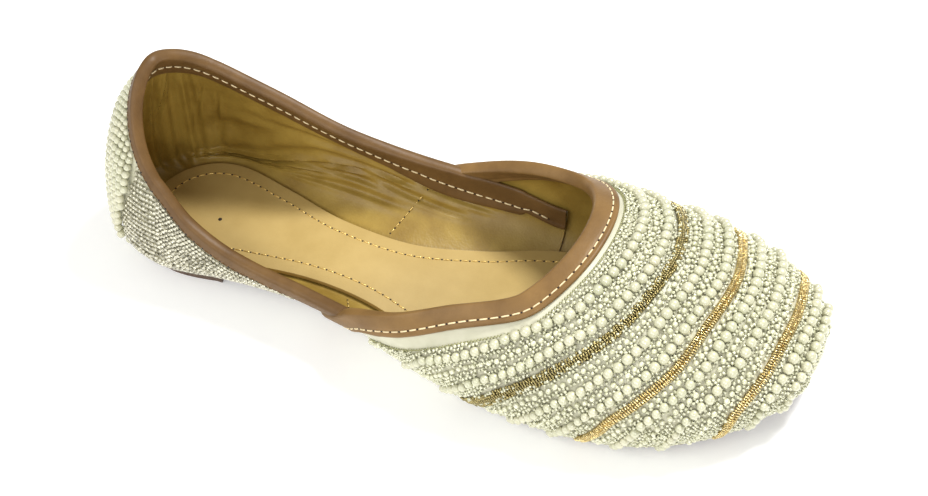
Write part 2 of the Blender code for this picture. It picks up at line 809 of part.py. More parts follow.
def sole_stations():
    """Pairs of foot points, lateral and medial, from the back of the heel to the toe tip."""
    pairs = []
    for i in range(HEEL_STEPS // 2 + 1):
        around = 0.5 - i / HEEL_STEPS
        pairs.append((quarter_foot(around), quarter_foot(1 - around)))
    front = station_x(QUARTER_FRONT)
    for i in range(1, SIDE_STEPS):
        x = mix(station_x(0), front, i / SIDE_STEPS)
        pairs.append((side_foot(x, LATERAL), side_foot(x, MEDIAL)))
    start, reach = station_x(TOE_START), LENGTH / 2 - station_x(TOE_START)
    for i in range(TOE_STEPS + 1):
        turn = 90 * i / TOE_STEPS
        x = start + reach * sin(radians(turn)) ** (2 / TOE_FULLNESS)
        if i == 0:
            x = mix(front, start, 0.5)
        pairs.append((side_foot(x, LATERAL), side_foot(x, MEDIAL)))
    return pairs


def outline(pairs, inset, height):
    """A closed outline inside the foot, with the height of each point from its x."""
    lateral = [pair[0].place + pair[0].normal * inset for pair in pairs]
    medial = [pair[1].place + pair[1].normal * inset for pair in pairs]
    ring = lateral + medial[::-1]
    return [Vector((point.x, point.y, height(point.x))) for point in ring]


def ring_cap(count):
    return folded_cap([(i, count - 1 - i) for i in range(count // 2)])


def make_outsole(material):
    pairs = sole_stations()
    edge = -WALL / 2 - SOLE_MARGIN
    rings = [
        outline(pairs, edge + SOLE_ROUNDING, sole_underside),
        outline(pairs, edge, lambda x: sole_underside(x) + SOLE_ROUNDING),
        outline(pairs, edge, lambda x: sole_underside(x) + OUTSOLE_THICKNESS),
    ]
    return lofted("outsole", rings, ring_cap(len(rings[0])), material)


def make_insole(material):
    """The sock and, under it, the filler that lies inside the turned-in edge of the upper."""
    pairs = sole_stations()
    sheet = WALL + GAP
    inset = WALL + GAP
    rings = [
        outline(pairs, inset, lambda x: foot_height(x) + sheet + INSOLE_THICKNESS),
        outline(pairs, inset, lambda x: foot_height(x) + sheet),
        outline(pairs, TURN_UNDER + GAP, lambda x: foot_height(x) + sheet),
        outline(pairs, TURN_UNDER + GAP, foot_height),
    ]
    return lofted("insole", rings, ring_cap(len(rings[0])), material)


def make_heel_lift(material):
    front = station_x(HEEL_FRONT)
    pairs = [pair for pair in sole_stations() if pair[0].place.x < front]
    ring = outline(pairs, LIFT_INSET - WALL / 2 - SOLE_MARGIN, lambda x: 0.0)
    half = len(ring) // 2
    lateral, medial = ring[:half], ring[half:]
    hollow = []
    for share in (0.0, 0.25, 0.5, 0.75, 1.0):
        x = front - LIFT_HOLLOW * sin(pi * share)
        hollow.append(Vector((x, mix(lateral[-1].y, medial[0].y, share), 0.0)))
    ring = lateral + hollow + medial
    rings = [ring, [point + Vector((0, 0, LIFT_THICKNESS)) for point in ring]]
    return lofted("heel_lift", rings, [tuple(range(len(ring)))], material)


def place_origin():
    """Move the whole shoe so that the origin is under the middle of its box."""
    bpy.context.view_layer.update()
    corners = [item.matrix_world @ Vector(corner) for item in bpy.data.objects for corner in item.bound_box]
    middle = [(min(corner[axis] for corner in corners) + max(corner[axis] for corner in corners)) / 2
              for axis in (0, 1)]
    for item in bpy.data.objects:
        item.location -= Vector((*middle, 0))


def main():
    for item in list(bpy.data.objects):
        bpy.data.objects.remove(item)
    satin = make_material("ivory satin", (0.83, 0.80, 0.72), 0.55)
    brown = make_material("brown binding leather", (0.36, 0.20, 0.12), 0.50)
    tan = make_material("tan sock leather", (0.72, 0.50, 0.27), 0.55)
    sole = make_material("sole leather", (0.33, 0.19, 0.10), 0.60)
    pearl = make_material("pearl", (0.88, 0.84, 0.74), 0.25)
    glass = make_material("clear beads", (0.80, 0.78, 0.68), 0.20)
    gold = make_material("gold wire", (0.75, 0.56, 0.25), 0.35, 1.0)

    joined(make_vamp(satin), make_quarter(satin))
    make_throat_binding(brown)
    make_collar_binding(brown)
    make_insole(tan)
    make_outsole(sole)
    make_heel_lift(sole)
    for number, trim in enumerate(pearl_strings(), 1):
        make_string(f"pearl_string_{number}", trim, PEARL_STAND, pearl)
    for number, trim in enumerate(GOLD_CORDS, 1):
        make_string(f"gold_cord_{number}", trim, CORD_STAND, gold)
    heel_span, lateral_span, medial_span = panel_spans()
    make_panel("heel_pearl_panel", heel_span, HEEL_PEARL_STAND, pearl)
    make_panel("lateral_bead_panel", lateral_span, SIDE_BEAD_STAND, glass)
    make_panel("medial_bead_panel", medial_span, SIDE_BEAD_STAND, glass)
    place_origin()


main()
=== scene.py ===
# %% [markdown]
# # A beaded mojari, right foot
#
# A mojari is a flat Indian slip-on: an upper of satin on leather, two leather bindings, a thin sole and a
# great deal of hand work with needle and beads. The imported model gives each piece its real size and
# place. The cells below dress it in the order in which a maker works: the last, the upper, the bindings,
# the beads, the sock and the sole.

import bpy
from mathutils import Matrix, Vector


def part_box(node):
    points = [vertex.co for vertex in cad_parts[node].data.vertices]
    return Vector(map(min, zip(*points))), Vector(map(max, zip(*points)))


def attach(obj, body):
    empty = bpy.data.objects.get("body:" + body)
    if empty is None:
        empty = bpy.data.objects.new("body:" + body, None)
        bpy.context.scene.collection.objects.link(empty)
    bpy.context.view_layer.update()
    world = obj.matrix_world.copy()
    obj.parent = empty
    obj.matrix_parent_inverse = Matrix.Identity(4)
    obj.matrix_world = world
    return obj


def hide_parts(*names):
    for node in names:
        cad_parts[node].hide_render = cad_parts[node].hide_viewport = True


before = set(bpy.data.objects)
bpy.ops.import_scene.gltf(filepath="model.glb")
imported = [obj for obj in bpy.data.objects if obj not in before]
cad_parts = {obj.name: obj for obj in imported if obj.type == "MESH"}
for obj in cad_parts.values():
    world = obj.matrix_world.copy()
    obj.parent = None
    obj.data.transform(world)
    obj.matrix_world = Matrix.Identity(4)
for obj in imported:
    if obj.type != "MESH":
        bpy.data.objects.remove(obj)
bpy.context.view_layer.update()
print("nodes:", ", ".join(sorted(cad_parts)))

# %% Modules
from collections import namedtuple
from functools import lru_cache, partial
from itertools import product
from math import cos, exp, floor, pi, radians, sin, sqrt
from random import Random

import bmesh
import bpy
import numpy as np
from mathutils import Matrix, Vector
from mathutils.kdtree import KDTree

# %% [markdown]
# ## The last
#
# A shoe is lasted: its upper is pulled over a wooden form, the last. The same form comes first here, as a
# function. It could be sculpted, but then each pearl would have to be dropped on it by hand. A formula
# gives the place and the outward direction of any point, so that one loop can lay a whole row of beads.
# Upright half sections, called ribs, run along the shoe, and a short table says how each one differs.

# %% Sizes of the last, in metres
LENGTH = 0.249             # counter to toe tip
BALL_WIDTH = 0.084
HEEL_WIDTH = 0.057
THROAT_HEIGHT = 0.051
BACK_HEIGHT = 0.074
TOE_HEIGHT = 0.019
TOE_TURN = 0.012           # toe tip to the medial side
CROWN_SHIFT = 0.005        # crown of the vamp to the medial side
HEEL_REACH = 0.032         # heel centre to the back
WALL = 0.0018
OUTSOLE_THICKNESS = 0.0030
LIFT_THICKNESS = 0.0032
INSOLE_THICKNESS = 0.0015
GAP = 0.0003
SOLE_MARGIN = 0.0006
TOE_SPRING = 0.008
ARCH_RISE = 0.0025
HEEL_FRONT = 0.074         # stations: 0 is the heel's centre, 1 the toe tip
TREAD_REAR = 0.510
TREAD_FRONT = 0.741
TOE_START = 0.654
TOE_FULLNESS = 2.3
TOE_BEND = 1.8
TOE_DROP = 0.66
HEEL_FOOT = 0.77
TOE_FOOT = 0.965
KNEE = 0.30
BELLY_ANGLE = 90.0         # on a rib, 0 is the crown and FOOT_ANGLE the sole's edge
FOOT_ANGLE = 130.0
LATERAL = -1
MEDIAL = 1

Row = namedtuple("Row", "station to_ball lateral medial lateral_foot medial_foot belly to_throat crown lean")
SECTIONS = (
    Row(0.000, 0.00, 0.525, 0.515, 0.820, 0.840, 0.25, 0.00, 1.210, 1.80),
    Row(0.101, 0.10, 0.500, 0.482, 0.720, 0.710, 0.38, 0.45, 1.150, 1.22),
    Row(0.217, 0.30, 0.484, 0.455, 0.610, 0.460, 0.47, 0.90, 1.040, 1.09),
    Row(0.332, 0.55, 0.490, 0.450, 0.585, 0.400, 0.50, 1.00, 0.990, 1.03),
    Row(0.447, 0.80, 0.505, 0.475, 0.685, 0.585, 0.45, 1.00, 0.985, 1.00),
    Row(0.539, 0.95, 0.512, 0.490, 0.795, 0.765, 0.39, 1.00, 1.005, 1.00),
    Row(0.654, 1.00, 0.500, 0.492, 0.865, 0.862, 0.33, 1.00, 0.982, 1.00),
)
print("last:", round(LENGTH * 1000), "mm long,", len(SECTIONS), "sections")

# %% Small helpers
def mix(a, b, share):
    return a + (b - a) * share


def ease(share):
    """Smooth step from 0 to 1."""
    share = min(max(share, 0.0), 1.0)
    return share * share * (3 - 2 * share)


def hump(value, width):
    """1 at 0, falling smoothly to almost nothing at a few widths."""
    return exp(-(value / width) ** 2)


def station_x(station):
    return mix(HEEL_REACH - LENGTH / 2, LENGTH / 2, station)


def station_at(x):
    return (x - station_x(0)) / (station_x(1) - station_x(0))


def through(rows, value):
    """A row of the table at value, on smooth curves that are level at both ends."""
    keys = [row[0] for row in rows]
    value = min(max(value, keys[0]), keys[-1])
    low = max(i for i in range(len(keys) - 1) if keys[i] <= value)
    span = keys[low + 1] - keys[low]
    t = (value - keys[low]) / span

    def slope(index, column):
        if index in (0, len(rows) - 1):
            return 0.0
        return (rows[index + 1][column] - rows[index - 1][column]) / (keys[index + 1] - keys[index - 1])

    columns = [value]
    for column in range(1, len(rows[0])):
        start = (1 + 2 * t) * (1 - t) ** 2 * rows[low][column]
        end = t * t * (3 - 2 * t) * rows[low + 1][column]
        bend = t * (1 - t) ** 2 * slope(low, column) - t * t * (1 - t) * slope(low + 1, column)
        columns.append(start + end + bend * span)
    return type(rows[0])(*columns)


# %% Sole line and ribs
def sole_underside(x):
    heel_front, rear, front = station_x(HEEL_FRONT), station_x(TREAD_REAR), station_x(TREAD_FRONT)
    if x < rear:
        share = (x - heel_front) / (rear - heel_front)
        rise = sin(pi * min(max(share, 0.0), 1.0)) ** 2
        return (LIFT_THICKNESS + GAP) * (1 - ease(share)) + ARCH_RISE * rise
    if x > front:
        return TOE_SPRING * ((x - front) / (LENGTH / 2 - front)) ** 2
    return 0.0


def foot_height(x):
    return sole_underside(x) + OUTSOLE_THICKNESS + GAP


class Rib:
    """An arch from the crown to the belly, and a bend from the belly to the foot."""

    def __init__(self, centre, belly, crown, foot, lean):
        self.centre, self.belly, self.crown, self.foot, self.lean = centre, belly, crown, foot, lean

    def at(self, angle):
        if angle <= BELLY_ANGLE:
            turn = radians(angle)
            across = (self.belly - self.centre) * sin(turn) ** self.lean
            return self.centre + across + (self.crown - self.centre) * cos(turn)
        t = min((angle - BELLY_ANGLE) / (FOOT_ANGLE - BELLY_ANGLE), 1.0)
        knee = Vector((self.belly.x, self.belly.y, mix(self.foot.z, self.belly.z, KNEE)))
        return self.belly * (1 - t) ** 2 + knee * 2 * t * (1 - t) + self.foot * t * t


def side_rib(x, side):
    start = station_x(TOE_START)
    row = through(SECTIONS, station_at(min(x, start)))
    width = mix(HEEL_WIDTH, BALL_WIDTH, row.to_ball)
    belly = width * (row.lateral if side == LATERAL else row.medial)
    foot = belly * (row.lateral_foot if side == LATERAL else row.medial_foot)
    belly_z = THROAT_HEIGHT * row.belly
    crown_z = mix(BACK_HEIGHT, THROAT_HEIGHT, row.to_throat) * row.crown
    crown_shift = CROWN_SHIFT * ease(row.station / TOE_START)
    turn, foot_x = 0.0, x
    if x > start:
        reach = min((x - start) / (LENGTH / 2 - start), 1.0)
        narrow = sqrt(max(1 - reach ** TOE_FULLNESS, 0.0))
        belly *= narrow
        foot *= narrow
        turn = TOE_TURN * reach ** 2
        belly_z = mix(belly_z, TOE_HEIGHT, ease(reach))
        crown_z = belly_z + (crown_z - belly_z) * max(1 - reach ** TOE_BEND, 0.0) ** TOE_DROP
        crown_shift *= narrow
        foot_x = start + (x - start) * TOE_FOOT
    centre = Vector((x, turn, belly_z))
    crown = Vector((x, turn + crown_shift, crown_z))
    foot_place = Vector((foot_x, turn + side * foot, foot_height(foot_x)))
    return Rib(centre, centre + Vector((0, side * belly, 0)), crown, foot_place, row.lean)


def heel_rib(turn):
    """The rib at an angle round the heel, from 0 on the lateral side to 180 on the medial side."""
    side = LATERAL if turn < 90 else MEDIAL
    near = side_rib(station_x(0), side)
    out, across = sin(radians(turn)), abs(cos(radians(turn)))
    belly = near.centre + Vector((-HEEL_REACH * out, side * across * abs(near.belly.y), 0))
    foot_x = near.centre.x - HEEL_REACH * HEEL_FOOT * out
    foot = Vector((foot_x, side * across * abs(near.foot.y), foot_height(foot_x)))
    return Rib(near.centre, belly, near.crown, foot, near.lean)


# %% [markdown]
# ## Two sheets on the last
#
# The upper has two halves. The vamp covers the forefoot, and rows lie across it like the bead rows: each
# has its middle on the crown and sweeps back to its ends at the sole. The quarter goes round the heel,
# from one side to the other, and its upper edge is the collar. Any point on either sheet has two numbers,
# so the rest of the lesson can say where a stitch or a bead goes in plain shares.

# %% The vamp's rows and the collar's edge
QUARTER_FRONT = 0.553
THROAT_APEX = 0.649
THROAT_END = 0.265
SWEEP_BLEND = 0.6

Sweep = namedtuple("Sweep", "across throat toe")
SWEEP = (
    Sweep(0.00, 0.00, 0.00),
    Sweep(0.29, 0.12, 0.13),
    Sweep(0.42, 0.38, 0.24),
    Sweep(0.55, 0.58, 0.46),
    Sweep(0.69, 0.785, 0.73),
    Sweep(1.00, 1.00, 1.00),
)
Edge = namedtuple("Edge", "around height")
COLLAR = (
    Edge(-1.00, 0.19), Edge(-0.85, 0.23), Edge(-0.70, 0.28), Edge(-0.48, 0.29), Edge(-0.24, 0.34),
    Edge(-0.10, 0.45), Edge(0.00, 0.61), Edge(0.25, 0.90), Edge(0.50, 1.00), Edge(0.75, 0.96),
    Edge(1.00, 0.86), Edge(1.10, 0.78), Edge(1.30, 0.62), Edge(1.50, 0.46), Edge(1.70, 0.37),
    Edge(1.85, 0.31), Edge(2.00, 0.23),
)


def quarter_rib(around):
    back, front = station_x(0), station_x(QUARTER_FRONT)
    if around < 0:
        return side_rib(mix(back, front, -around), LATERAL)
    if around > 1:
        return side_rib(mix(back, front, around - 1), MEDIAL)
    return heel_rib(180 * around)


def row_x(across, row):
    apex = mix(station_x(THROAT_APEX), LENGTH / 2, row)
    end = mix(station_x(THROAT_END), LENGTH / 2, row)
    sweep = through(SWEEP, abs(across))
    return mix(apex, end, mix(sweep.throat, sweep.toe, ease(row / SWEEP_BLEND)))


def vamp_surface(across, row):
    side = LATERAL if across < 0 else MEDIAL
    return side_rib(row_x(across, row), side).at(abs(across) * FOOT_ANGLE)


def quarter_surface(around, angle):
    return quarter_rib(around).at(angle)


# %% A point of a sheet and the way out of the shoe there
Point = namedtuple("Point", "place normal")


def facing(vector, towards):
    vector = vector.normalized()
    return -vector if vector.dot(towards) < 0 else vector


def vamp_point(across, row):
    step = 0.0005
    place = vamp_surface(across, row)
    if row > 1 - step and abs(across) * FOOT_ANGLE <= BELLY_ANGLE:
        return Point(place, Vector((1, 0, 0)))
    a0, a1 = max(across - step, -1.0), min(across + step, 1.0)
    r0, r1 = max(row - step, 0.0), min(row + step, 1.0)
    over = vamp_surface(a1, row) - vamp_surface(a0, row)
    normal = over.cross(vamp_surface(across, r1) - vamp_surface(across, r0))
    if row > 1 - step:
        normal.y = 0
    inside = Vector((min(place.x, station_x(TOE_START)), 0, TOE_HEIGHT))
    return Point(place, facing(normal, place - inside))


def quarter_point(around, angle):
    step = 0.001
    place = quarter_surface(around, angle)
    q0, q1 = max(around - step, -1.0), min(around + step, 2.0)
    along = quarter_surface(q1, angle) - quarter_surface(q0, angle)
    down = quarter_surface(around, angle + 0.1) - quarter_surface(around, max(angle - 0.1, 0))
    if angle > FOOT_ANGLE - 0.1:
        down = place - quarter_surface(around, angle - 0.2)
    inside = Vector((max(place.x, station_x(0)), 0, TOE_HEIGHT))
    return Point(place, facing(along.cross(down), place - inside))


def off(point, distance):
    return point.place + point.normal * distance


@lru_cache(maxsize=None)
def collar_angle(around):
    rib, height = quarter_rib(around), BACK_HEIGHT * through(COLLAR, around).height
    low, high = 0.0, FOOT_ANGLE
    for _ in range(40):
        middle = (low + high) / 2
        if rib.at(middle).z > height:
            low = middle
        else:
            high = middle
    return low


# %% Where the last stands in the frame
widest = max(side_rib(station_x(i / 100), MEDIAL).belly.y for i in range(101))
upper_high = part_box("upper")[1]
SHIFT = Vector((upper_high.x - LENGTH / 2 - WALL / 2, upper_high.y - widest - WALL / 2, 0))
print("last moved by", [round(value * 1000, 2) for value in SHIFT], "mm")

# %% [markdown]
# ## Making meshes
#
# Nearly every piece is one of two kinds. A sheet or a strip is a grid of points, joined by four-sided
# faces. A row of beads or stitches is one small mesh, copied to many spots and joined into one object,
# which Blender draws much faster than hundreds of objects. Both kinds go through the functions below.

# %% Turn points into objects
SHARP_WALL = 50            # degrees between two faces from which their edge is drawn sharp
SHARP_STRIP = 60
SHARP_SOLE = 40


def make_mesh(name, places, faces, finishes, shades=None, sharp=None):
    """An object on the body, with one finish or, by shades, a finish number for each face."""
    mesh = bpy.data.meshes.new(name)
    moved = np.asarray(places, dtype=np.float64).reshape(-1, 3) + np.array(SHIFT)
    mesh.from_pydata(moved.tolist(), [], faces)
    for finish in finishes:
        mesh.materials.append(finish)
    if shades is not None:
        mesh.polygons.foreach_set("material_index", shades)
    mesh.shade_smooth()
    if sharp:
        mesh.set_sharp_from_angle(angle=radians(sharp))
    piece = bpy.data.objects.new(name, mesh)
    bpy.context.collection.objects.link(piece)
    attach(piece, "root")
    return piece


def outward(piece):
    """Turn the faces of a closed piece to the outside."""
    body = bmesh.new()
    body.from_mesh(piece.data)
    bmesh.ops.remove_doubles(body, verts=body.verts, dist=1e-7)
    bmesh.ops.recalc_face_normals(body, faces=body.faces)
    body.to_mesh(piece.data)
    body.free()
    return piece


def grid_faces(rows, columns, closed=False):
    """Faces of a grid of points, listed row by row. A closed grid joins its last column to its first."""
    faces = []
    for i in range(rows - 1):
        for j in range(columns if closed else columns - 1):
            k = (j + 1) % columns
            faces.append((i * columns + j, i * columns + k, (i + 1) * columns + k, (i + 1) * columns + j))
    return faces


def end_faces(rows, columns):
    """The two faces that close a closed grid at its first and its last row."""
    last = (rows - 1) * columns
    return [tuple(range(columns))[::-1], tuple(last + j for j in range(columns))]


def lofted(name, sections, finish, sharp):
    """A strip with closed sections and flat ends."""
    rows, columns = len(sections), len(sections[0])
    faces = grid_faces(rows, columns, closed=True) + end_faces(rows, columns)
    places = [place for section in sections for place in section]
    return outward(make_mesh(name, places, faces, [finish], sharp=sharp))


# %% Copy one small mesh to many spots
Spot = namedtuple("Spot", "place x y z")   # the three vectors carry the copy's size too


def frame_spot(place, along, normal, size):
    """A spot with its x axis along a string and its z axis out of the sheet."""
    x = along.normalized()
    y = normal.cross(x).normalized()
    z = x.cross(y)
    return Spot(place, x * size[0], y * size[1], z * size[2])


def scattered(name, template, spots, finish):
    points, faces = template
    base = np.array(points)
    frames = np.array([[spot.x, spot.y, spot.z] for spot in spots])
    places = np.array([spot.place for spot in spots])
    everything = np.einsum("pk,nkc->npc", base, frames) + places[:, None, :]
    count = len(base)
    all_faces = [tuple(index + n * count for index in face) for n in range(len(spots)) for face in faces]
    piece = make_mesh(name, everything.reshape(-1, 3), all_faces, [finish])
    print(f"{name}: {len(spots)} copies, {len(all_faces)} faces")
    return piece


def turned(profile, sides):
    """Points and faces of a profile of (x, radius) pairs turned about the x axis."""
    turns = [2 * pi * k / sides for k in range(sides)]
    points = [(x, radius * cos(turn), radius * sin(turn)) for x, radius in profile for turn in turns]
    return points, grid_faces(len(profile), sides, closed=True)


# %% Walk along a curve in equal steps
def walk(curve, start, end, pitch, samples=200):
    """Values from start to end at which the points of a curve are about a pitch apart.

    The pitch is a length, or a function that gives one for a value.
    """
    values = [mix(start, end, i / samples) for i in range(samples + 1)]
    places = [curve(value) for value in values]
    steps = [0.0]
    for value, a, b in zip(values, places, places[1:]):
        own = pitch(value) if callable(pitch) else pitch
        steps.append(steps[-1] + (b - a).length / own)
    count = max(round(steps[-1]), 1)
    return [float(value) for value in np.interp(np.linspace(0, steps[-1], count + 1), steps, values)]


# %% [markdown]
# ## Finishes
#
# Each material is a Principled shader with small procedural textures. A picture of leather could be wrapped
# on, but each mesh would need a flat map for it. The textures read the object's own coordinates in metres,
# so a grain of half a millimetre stays half a millimetre on every piece.

# %% Node helpers
def new_finish(name, colour, roughness, **values):
    finish = bpy.data.materials.new(name)
    finish.use_nodes = True
    shader = finish.node_tree.nodes["Principled BSDF"]
    shader.inputs["Base Color"].default_value = (*colour, 1)
    shader.inputs["Roughness"].default_value = roughness
    for key, value in values.items():
        shader.inputs[key.replace("_", " ")].default_value = value
    finish.diffuse_color = (*colour, 1)
    return finish


def add_node(finish, kind, settings=None, **inputs):
    """A new node. An input that is another node's output gets linked, and any other is set."""
    made = finish.node_tree.nodes.new(kind)
    for key, value in (settings or {}).items():
        setattr(made, key, value)
    for key, value in inputs.items():
        socket = made.inputs[key.replace("_", " ")]
        if isinstance(value, bpy.types.NodeSocket):
            finish.node_tree.links.new(value, socket)
        else:
            socket.default_value = value
    return made


def coordinates(finish):
    return add_node(finish, "ShaderNodeTexCoord").outputs["Object"]


def noise(finish, size, detail):
    """Soft noise whose lumps are about a size across, in metres."""
    place = coordinates(finish)
    made = add_node(finish, "ShaderNodeTexNoise", Vector=place, Scale=1 / size, Detail=detail, Roughness=0.55)
    return made.outputs["Fac"]


def link(finish, output, socket):
    shader = finish.node_tree.nodes["Principled BSDF"]
    finish.node_tree.links.new(output, shader.inputs[socket])


def ramp(finish, value, stops):
    """A colour for each value, from (position, colour) stops."""
    made = add_node(finish, "ShaderNodeValToRGB", Fac=value)
    for index, (position, colour) in enumerate(stops):
        element = made.color_ramp.elements[index] if index < 2 else made.color_ramp.elements.new(position)
        element.position = position
        element.color = (*colour, 1)
    return made.outputs["Color"]


def clouded(finish, size, detail, dark, light):
    """Let the colour drift between two (position, colour) stops, over lumps of a size."""
    clouds = noise(finish, size, detail)
    link(finish, ramp(finish, clouds, [dark, light]), "Base Color")
    return clouds


def bump(finish, layers):
    """Bump from (height, depth in metres) layers, the coarsest first."""
    normal = None
    for height, depth in layers:
        extra = {"Normal": normal} if normal else {}
        made = add_node(finish, "ShaderNodeBump", Height=height, Distance=depth, Strength=1.0, **extra)
        normal = made.outputs["Normal"]
    link(finish, normal, "Normal")


# %% Leather: bindings, lining, sock and sole
def leather(name, dark, light, roughness, grain, depth, **values):
    """Leather with cloudy colour, fine pores and a roughness that follows the clouds."""
    finish = new_finish(name, light, roughness, **values)
    clouds = clouded(finish, 0.012, 4.0, (0.30, dark), (0.72, light))
    shine = add_node(
        finish, "ShaderNodeMapRange", Value=clouds, To_Min=roughness + 0.07, To_Max=roughness - 0.05
    )
    link(finish, shine.outputs["Result"], "Roughness")
    pores = add_node(finish, "ShaderNodeTexVoronoi", Vector=coordinates(finish), Scale=1 / grain)
    bump(finish, [(noise(finish, 0.004, 3.0), depth * 3), (pores.outputs["Distance"], depth)])
    return finish


binding_leather = leather(
    "brown binding leather", (0.100, 0.050, 0.014), (0.165, 0.088, 0.027), 0.46, 0.0006, 0.00003,
    Specular_IOR_Level=0.30,
)
throat_leather = leather(
    "light brown binding leather", (0.150, 0.080, 0.024), (0.240, 0.136, 0.044), 0.46, 0.0006, 0.00003,
    Specular_IOR_Level=0.30,
)
lining_leather = leather(
    "olive lining leather", (0.235, 0.142, 0.020), (0.365, 0.245, 0.048), 0.46, 0.0008, 0.00005,
)
sock_leather = leather(
    "tan sock leather", (0.430, 0.300, 0.100), (0.490, 0.350, 0.128), 0.46, 0.0007, 0.00002,
)
sole_leather = leather(
    "dark sole leather", (0.060, 0.036, 0.024), (0.130, 0.080, 0.050), 0.55, 0.0007, 0.00006,
)
print("leathers:", len(bpy.data.materials))

# %% Satin
satin = new_finish("ivory satin", (0.66, 0.65, 0.52), 0.38, Sheen_Weight=0.25, Sheen_Roughness=0.4)
weave = add_node(
    satin, "ShaderNodeTexWave", {"bands_direction": "DIAGONAL"},
    Vector=coordinates(satin), Scale=900.0, Distortion=0.6, Detail=1.0,
)
bump(satin, [(noise(satin, 0.006, 2.0), 0.00025), (weave.outputs["Fac"], 0.00002)])
clouded(satin, 0.010, 3.0, (0.3, (0.51, 0.50, 0.36)), (0.7, (0.63, 0.61, 0.47)))
print("satin:", len(satin.node_tree.nodes), "nodes")

# %% Threads and needle holes
cream_thread = new_finish("cream thread", (0.80, 0.66, 0.40), 0.60)
gold_thread = new_finish("gold thread", (0.80, 0.58, 0.20), 0.34, Metallic=0.6)
for thread in (cream_thread, gold_thread):
    bump(thread, [(noise(thread, 0.0004, 1.0), 0.00008)])
chain_thread = new_finish("green gold thread", (0.42, 0.42, 0.20), 0.40, Metallic=0.35)
# Dark discs at stitch and nail holes: the shade inside the holes, painted
hole_shade = new_finish("painted hole shade", (0.025, 0.014, 0.008), 0.80)
print("threads:", ", ".join(thread.name for thread in (cream_thread, gold_thread, chain_thread)))

# %% Pearl and glass
def polished(name, colour, roughness, metallic, coat_roughness):
    """The finish of a bead, under a clear coat."""
    return new_finish(
        name, colour, roughness, Metallic=metallic, Coat_Weight=1.0, Coat_Roughness=coat_roughness
    )


pearl = polished("pearl", (0.60, 0.59, 0.44), roughness=0.34, metallic=0.10, coat_roughness=0.05)
clouded(pearl, 0.009, 1.0, (0.3, (0.54, 0.54, 0.37)), (0.7, (0.62, 0.60, 0.43)))
glass = polished("silver-lined glass", (0.70, 0.70, 0.52), roughness=0.22, metallic=0.15, coat_roughness=0.05)
clouded(glass, 0.0016, 1.0, (0.3, (0.54, 0.54, 0.35)), (0.7, (0.78, 0.77, 0.58)))
grey_glass = polished("grey glass", (0.50, 0.47, 0.34), roughness=0.16, metallic=0.45, coat_roughness=0.04)
clouded(grey_glass, 0.0014, 1.0, (0.35, (0.24, 0.22, 0.14)), (0.6, (0.74, 0.71, 0.55)))

# %% Gold wire
bright_gold = new_finish("bright gold wire", (0.88, 0.66, 0.27), 0.24, Metallic=1.0)
# The gold's own colour, with pale and dark specks in it: painted glints, and painted shade between the wire's
# turns
clouded(bright_gold, 0.0008, 2.0, (0.35, (0.50, 0.35, 0.11)), (0.58, (1.00, 0.84, 0.44)))
bump(bright_gold, [(noise(bright_gold, 0.0005, 1.0), 0.0004)])
old_gold = new_finish("old gold wire", (0.36, 0.30, 0.13), 0.25, Metallic=1.0)
print("finishes:", len(bpy.data.materials))

# %% [markdown]
# ## The upper
#
# The real wall is three layers: satin, a stiffener and lining leather, pasted and turned under at the sole.
# One closed wall does here, with satin on its outer faces and lining on its inner ones. The lining is
# pasted over a curved form, so it creases: upright folds in the round of the heel, and long level ones
# down the far side. Noise alone would look like dents, so each crease is placed one by one, as a soft
# trough with a start, an end, a depth and a width.

# %% Creases of the lining
# A crease runs from one (around, low) place of the quarter to another. Low is 0 at the collar, 1 at the foot.
Crease = namedtuple("Crease", "around0 low0 around1 low1 depth width")
UPRIGHT_CREASES = (
    Crease(0.300, 0.10, 0.285, 0.70, 0.0009, 0.016), Crease(0.385, 0.12, 0.365, 0.85, 0.0011, 0.017),
    Crease(0.452, 0.14, 0.440, 0.92, 0.0013, 0.015), Crease(0.492, 0.12, 0.478, 0.75, 0.0012, 0.013),
    Crease(0.545, 0.16, 0.540, 0.86, 0.0008, 0.016), Crease(0.590, 0.15, 0.578, 0.60, 0.0007, 0.013),
    Crease(0.640, 0.13, 0.652, 0.82, 0.0009, 0.016), Crease(0.735, 0.15, 0.728, 0.90, 0.0013, 0.018),
    Crease(0.768, 0.20, 0.762, 0.62, 0.0007, 0.013), Crease(0.822, 0.16, 0.800, 0.80, 0.0008, 0.016),
    Crease(0.900, 0.30, 0.880, 0.72, 0.0006, 0.018),
    Crease(0.712, 0.19, 0.632, 0.46, 0.0007, 0.006), Crease(0.648, 0.19, 0.600, 0.42, 0.0006, 0.006),
    Crease(0.872, 0.22, 0.802, 0.44, 0.0005, 0.007), Crease(0.932, 0.26, 0.880, 0.44, 0.0005, 0.007),
)
LEVEL_CREASES = (
    Crease(0.86, 0.42, 1.16, 0.34, 0.0008, 0.026), Crease(0.84, 0.56, 1.24, 0.44, 0.0010, 0.028),
    Crease(0.92, 0.66, 1.36, 0.52, 0.0011, 0.026), Crease(0.80, 0.78, 1.28, 0.68, 0.0008, 0.024),
    Crease(1.06, 0.30, 1.40, 0.31, 0.0008, 0.026), Crease(1.10, 0.60, 1.42, 0.62, 0.0009, 0.028),
    Crease(1.18, 0.76, 1.52, 0.74, 0.0008, 0.030), Crease(1.26, 0.42, 1.54, 0.46, 0.0008, 0.026),
    Crease(1.46, 0.56, 1.70, 0.62, 0.0008, 0.034), Crease(1.56, 0.40, 1.78, 0.46, 0.0007, 0.034),
    Crease(-0.10, 0.66, -0.44, 0.66, 0.0008, 0.044), Crease(-0.02, 0.48, -0.26, 0.50, 0.0007, 0.038),
)
print("creases:", len(UPRIGHT_CREASES), "upright,", len(LEVEL_CREASES), "level")

